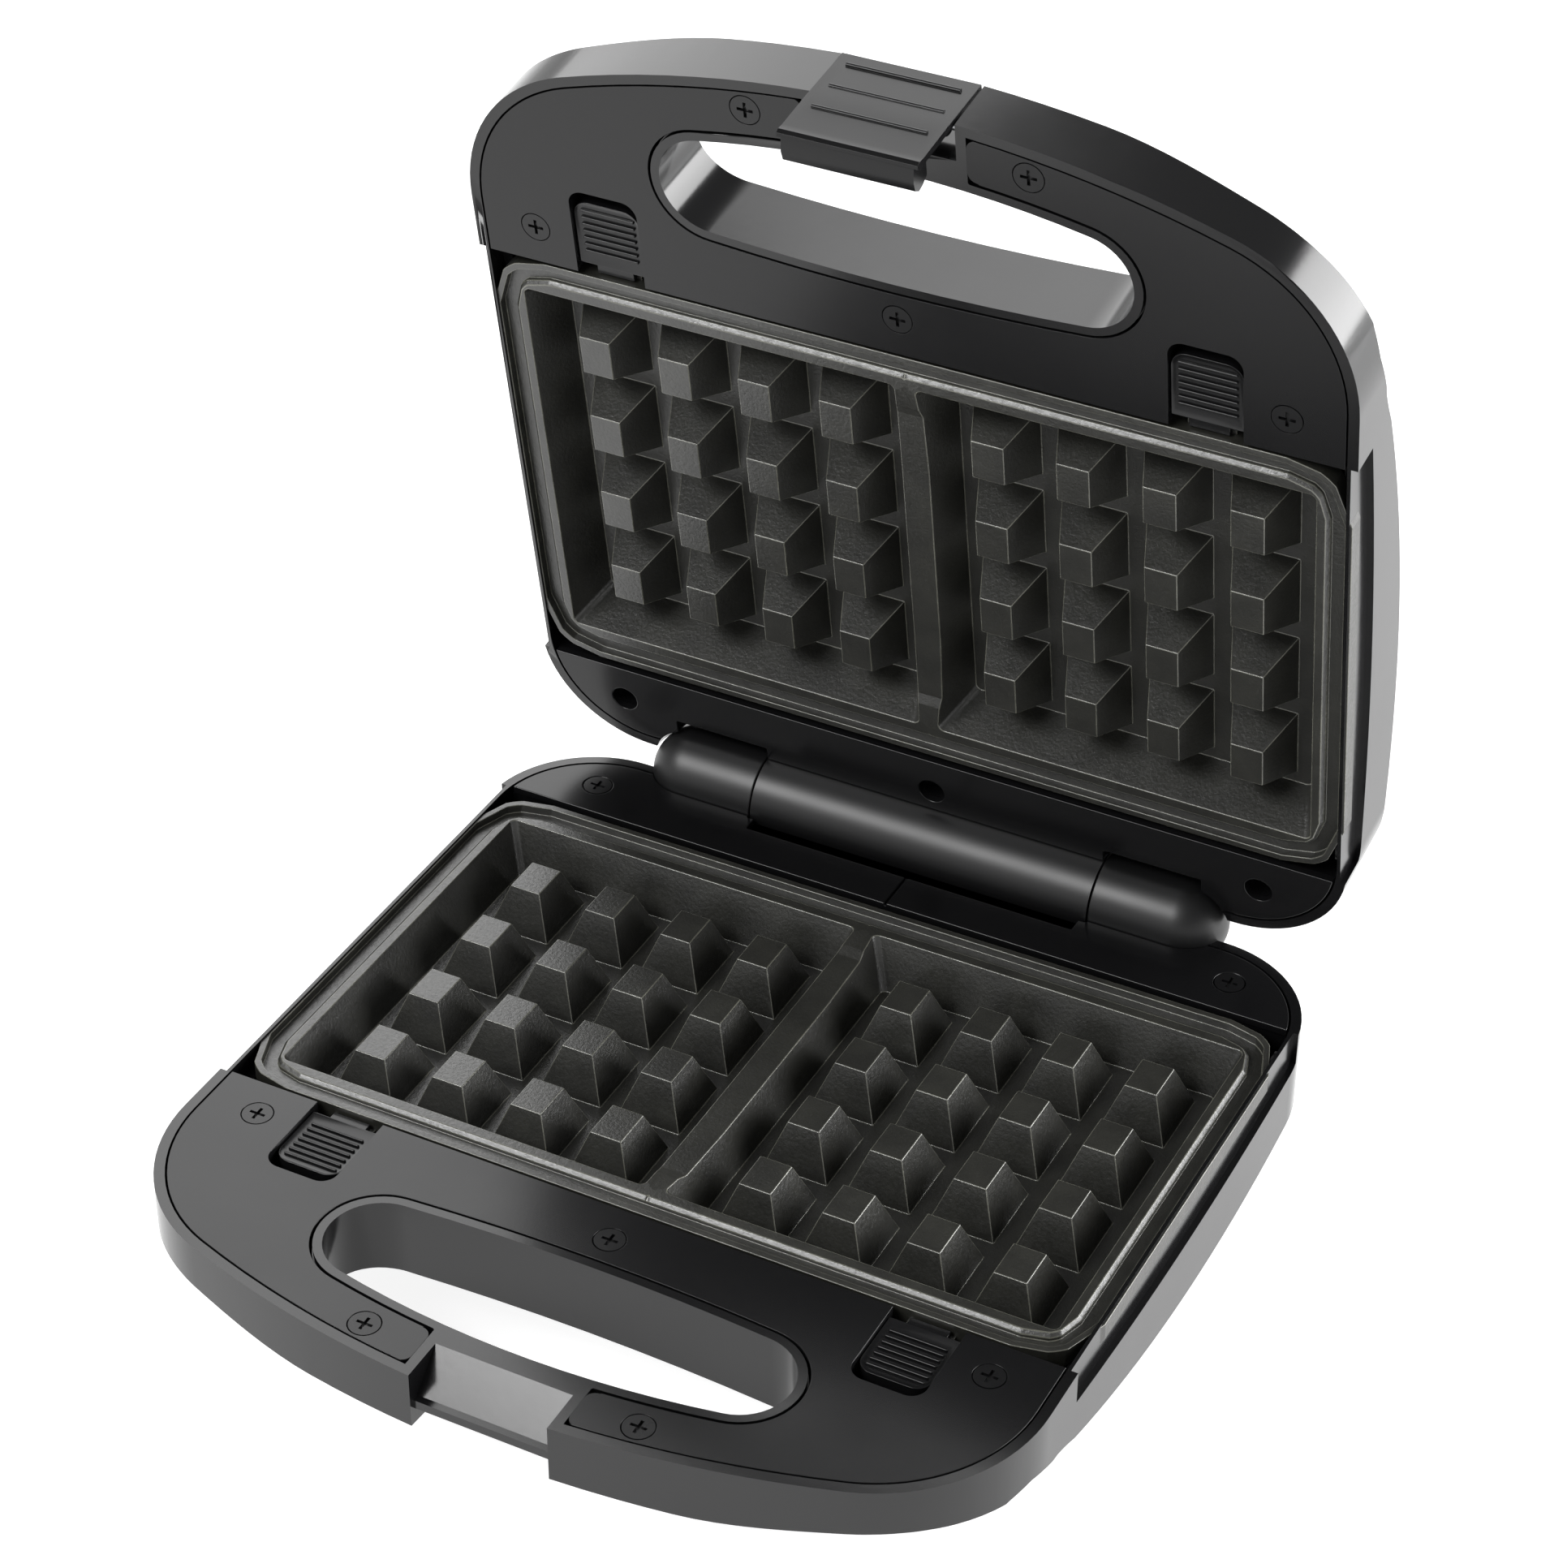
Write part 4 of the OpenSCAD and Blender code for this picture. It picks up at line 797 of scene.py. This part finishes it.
INNER_FINISHES = {
    "black_screw": ("base_cover_screws", "lid_cover_screws"),
    "steel": (
        "base_reflector_screws", "lid_reflector_screws", "base_left_spring",
        "base_right_spring", "lid_left_spring", "lid_right_spring", "latch_spring",
        "hinge_pins", "latch_pin"),
    "tray": ("base_reflector", "lid_reflector"),
    "sheath": ("base_heater", "lid_heater"),
    "ceramic": ("thermostat",),
    "sleeve": ("thermal_fuse", "base_wires", "lid_wires"),
    "nylon": ("terminal_block",),
    "rubber": ("cord_bush",),
    "red_lens": ("power_lens",),
    "green_lens": ("ready_lens",),
    "board": ("lamp_board",),
}


class WAFFLE_OT_inner(bpy.types.Operator):
    """Finishes on the pieces that stay as the model has them"""

    bl_idname = "waffle.inner_parts"
    bl_label = "Inner parts"

    def execute(self, context):
        for finish, nodes in INNER_FINISHES.items():
            for node in nodes:
                slots = frame["nodes"][node].data.materials
                slots.clear()
                slots.append(Finish.get(finish))
        return {"FINISHED"}


# ---------------------------------------------------------------- add-on

class WAFFLE_PT_panel(bpy.types.Panel):
    """A button for each group of pieces"""

    bl_idname = "WAFFLE_PT_panel"
    bl_label = "Waffle Maker"
    bl_space_type = "VIEW_3D"
    bl_region_type = "UI"
    bl_category = "Waffle Maker"

    def draw(self, context):
        for operator in OPERATORS:
            self.layout.operator(operator.bl_idname)


OPERATORS = (
    WAFFLE_OT_stage, WAFFLE_OT_casing, WAFFLE_OT_covers, WAFFLE_OT_plates, WAFFLE_OT_buttons,
    WAFFLE_OT_small, WAFFLE_OT_inner)
CLASSES = (StageSettings, EdgeSettings, PlateSettings, ButtonSettings, *OPERATORS, WAFFLE_PT_panel)


def register():
    for cls in CLASSES:
        bpy.utils.register_class(cls)
    bpy.types.Scene.waffle_stage = bpy.props.PointerProperty(type=StageSettings)
    bpy.types.Scene.waffle_edges = bpy.props.PointerProperty(type=EdgeSettings)
    bpy.types.Scene.waffle_plate = bpy.props.PointerProperty(type=PlateSettings)
    bpy.types.Scene.waffle_button = bpy.props.PointerProperty(type=ButtonSettings)


def unregister():
    del bpy.types.Scene.waffle_button
    del bpy.types.Scene.waffle_plate
    del bpy.types.Scene.waffle_edges
    del bpy.types.Scene.waffle_stage
    for cls in reversed(CLASSES):
        bpy.utils.unregister_class(cls)


def main():
    """Builds everything in order."""
    register()
    for operator in OPERATORS:
        group, name = operator.bl_idname.split(".")
        getattr(getattr(bpy.ops, group), name)()
    bpy.context.view_layer.update()


if __name__ == "__main__":
    main()
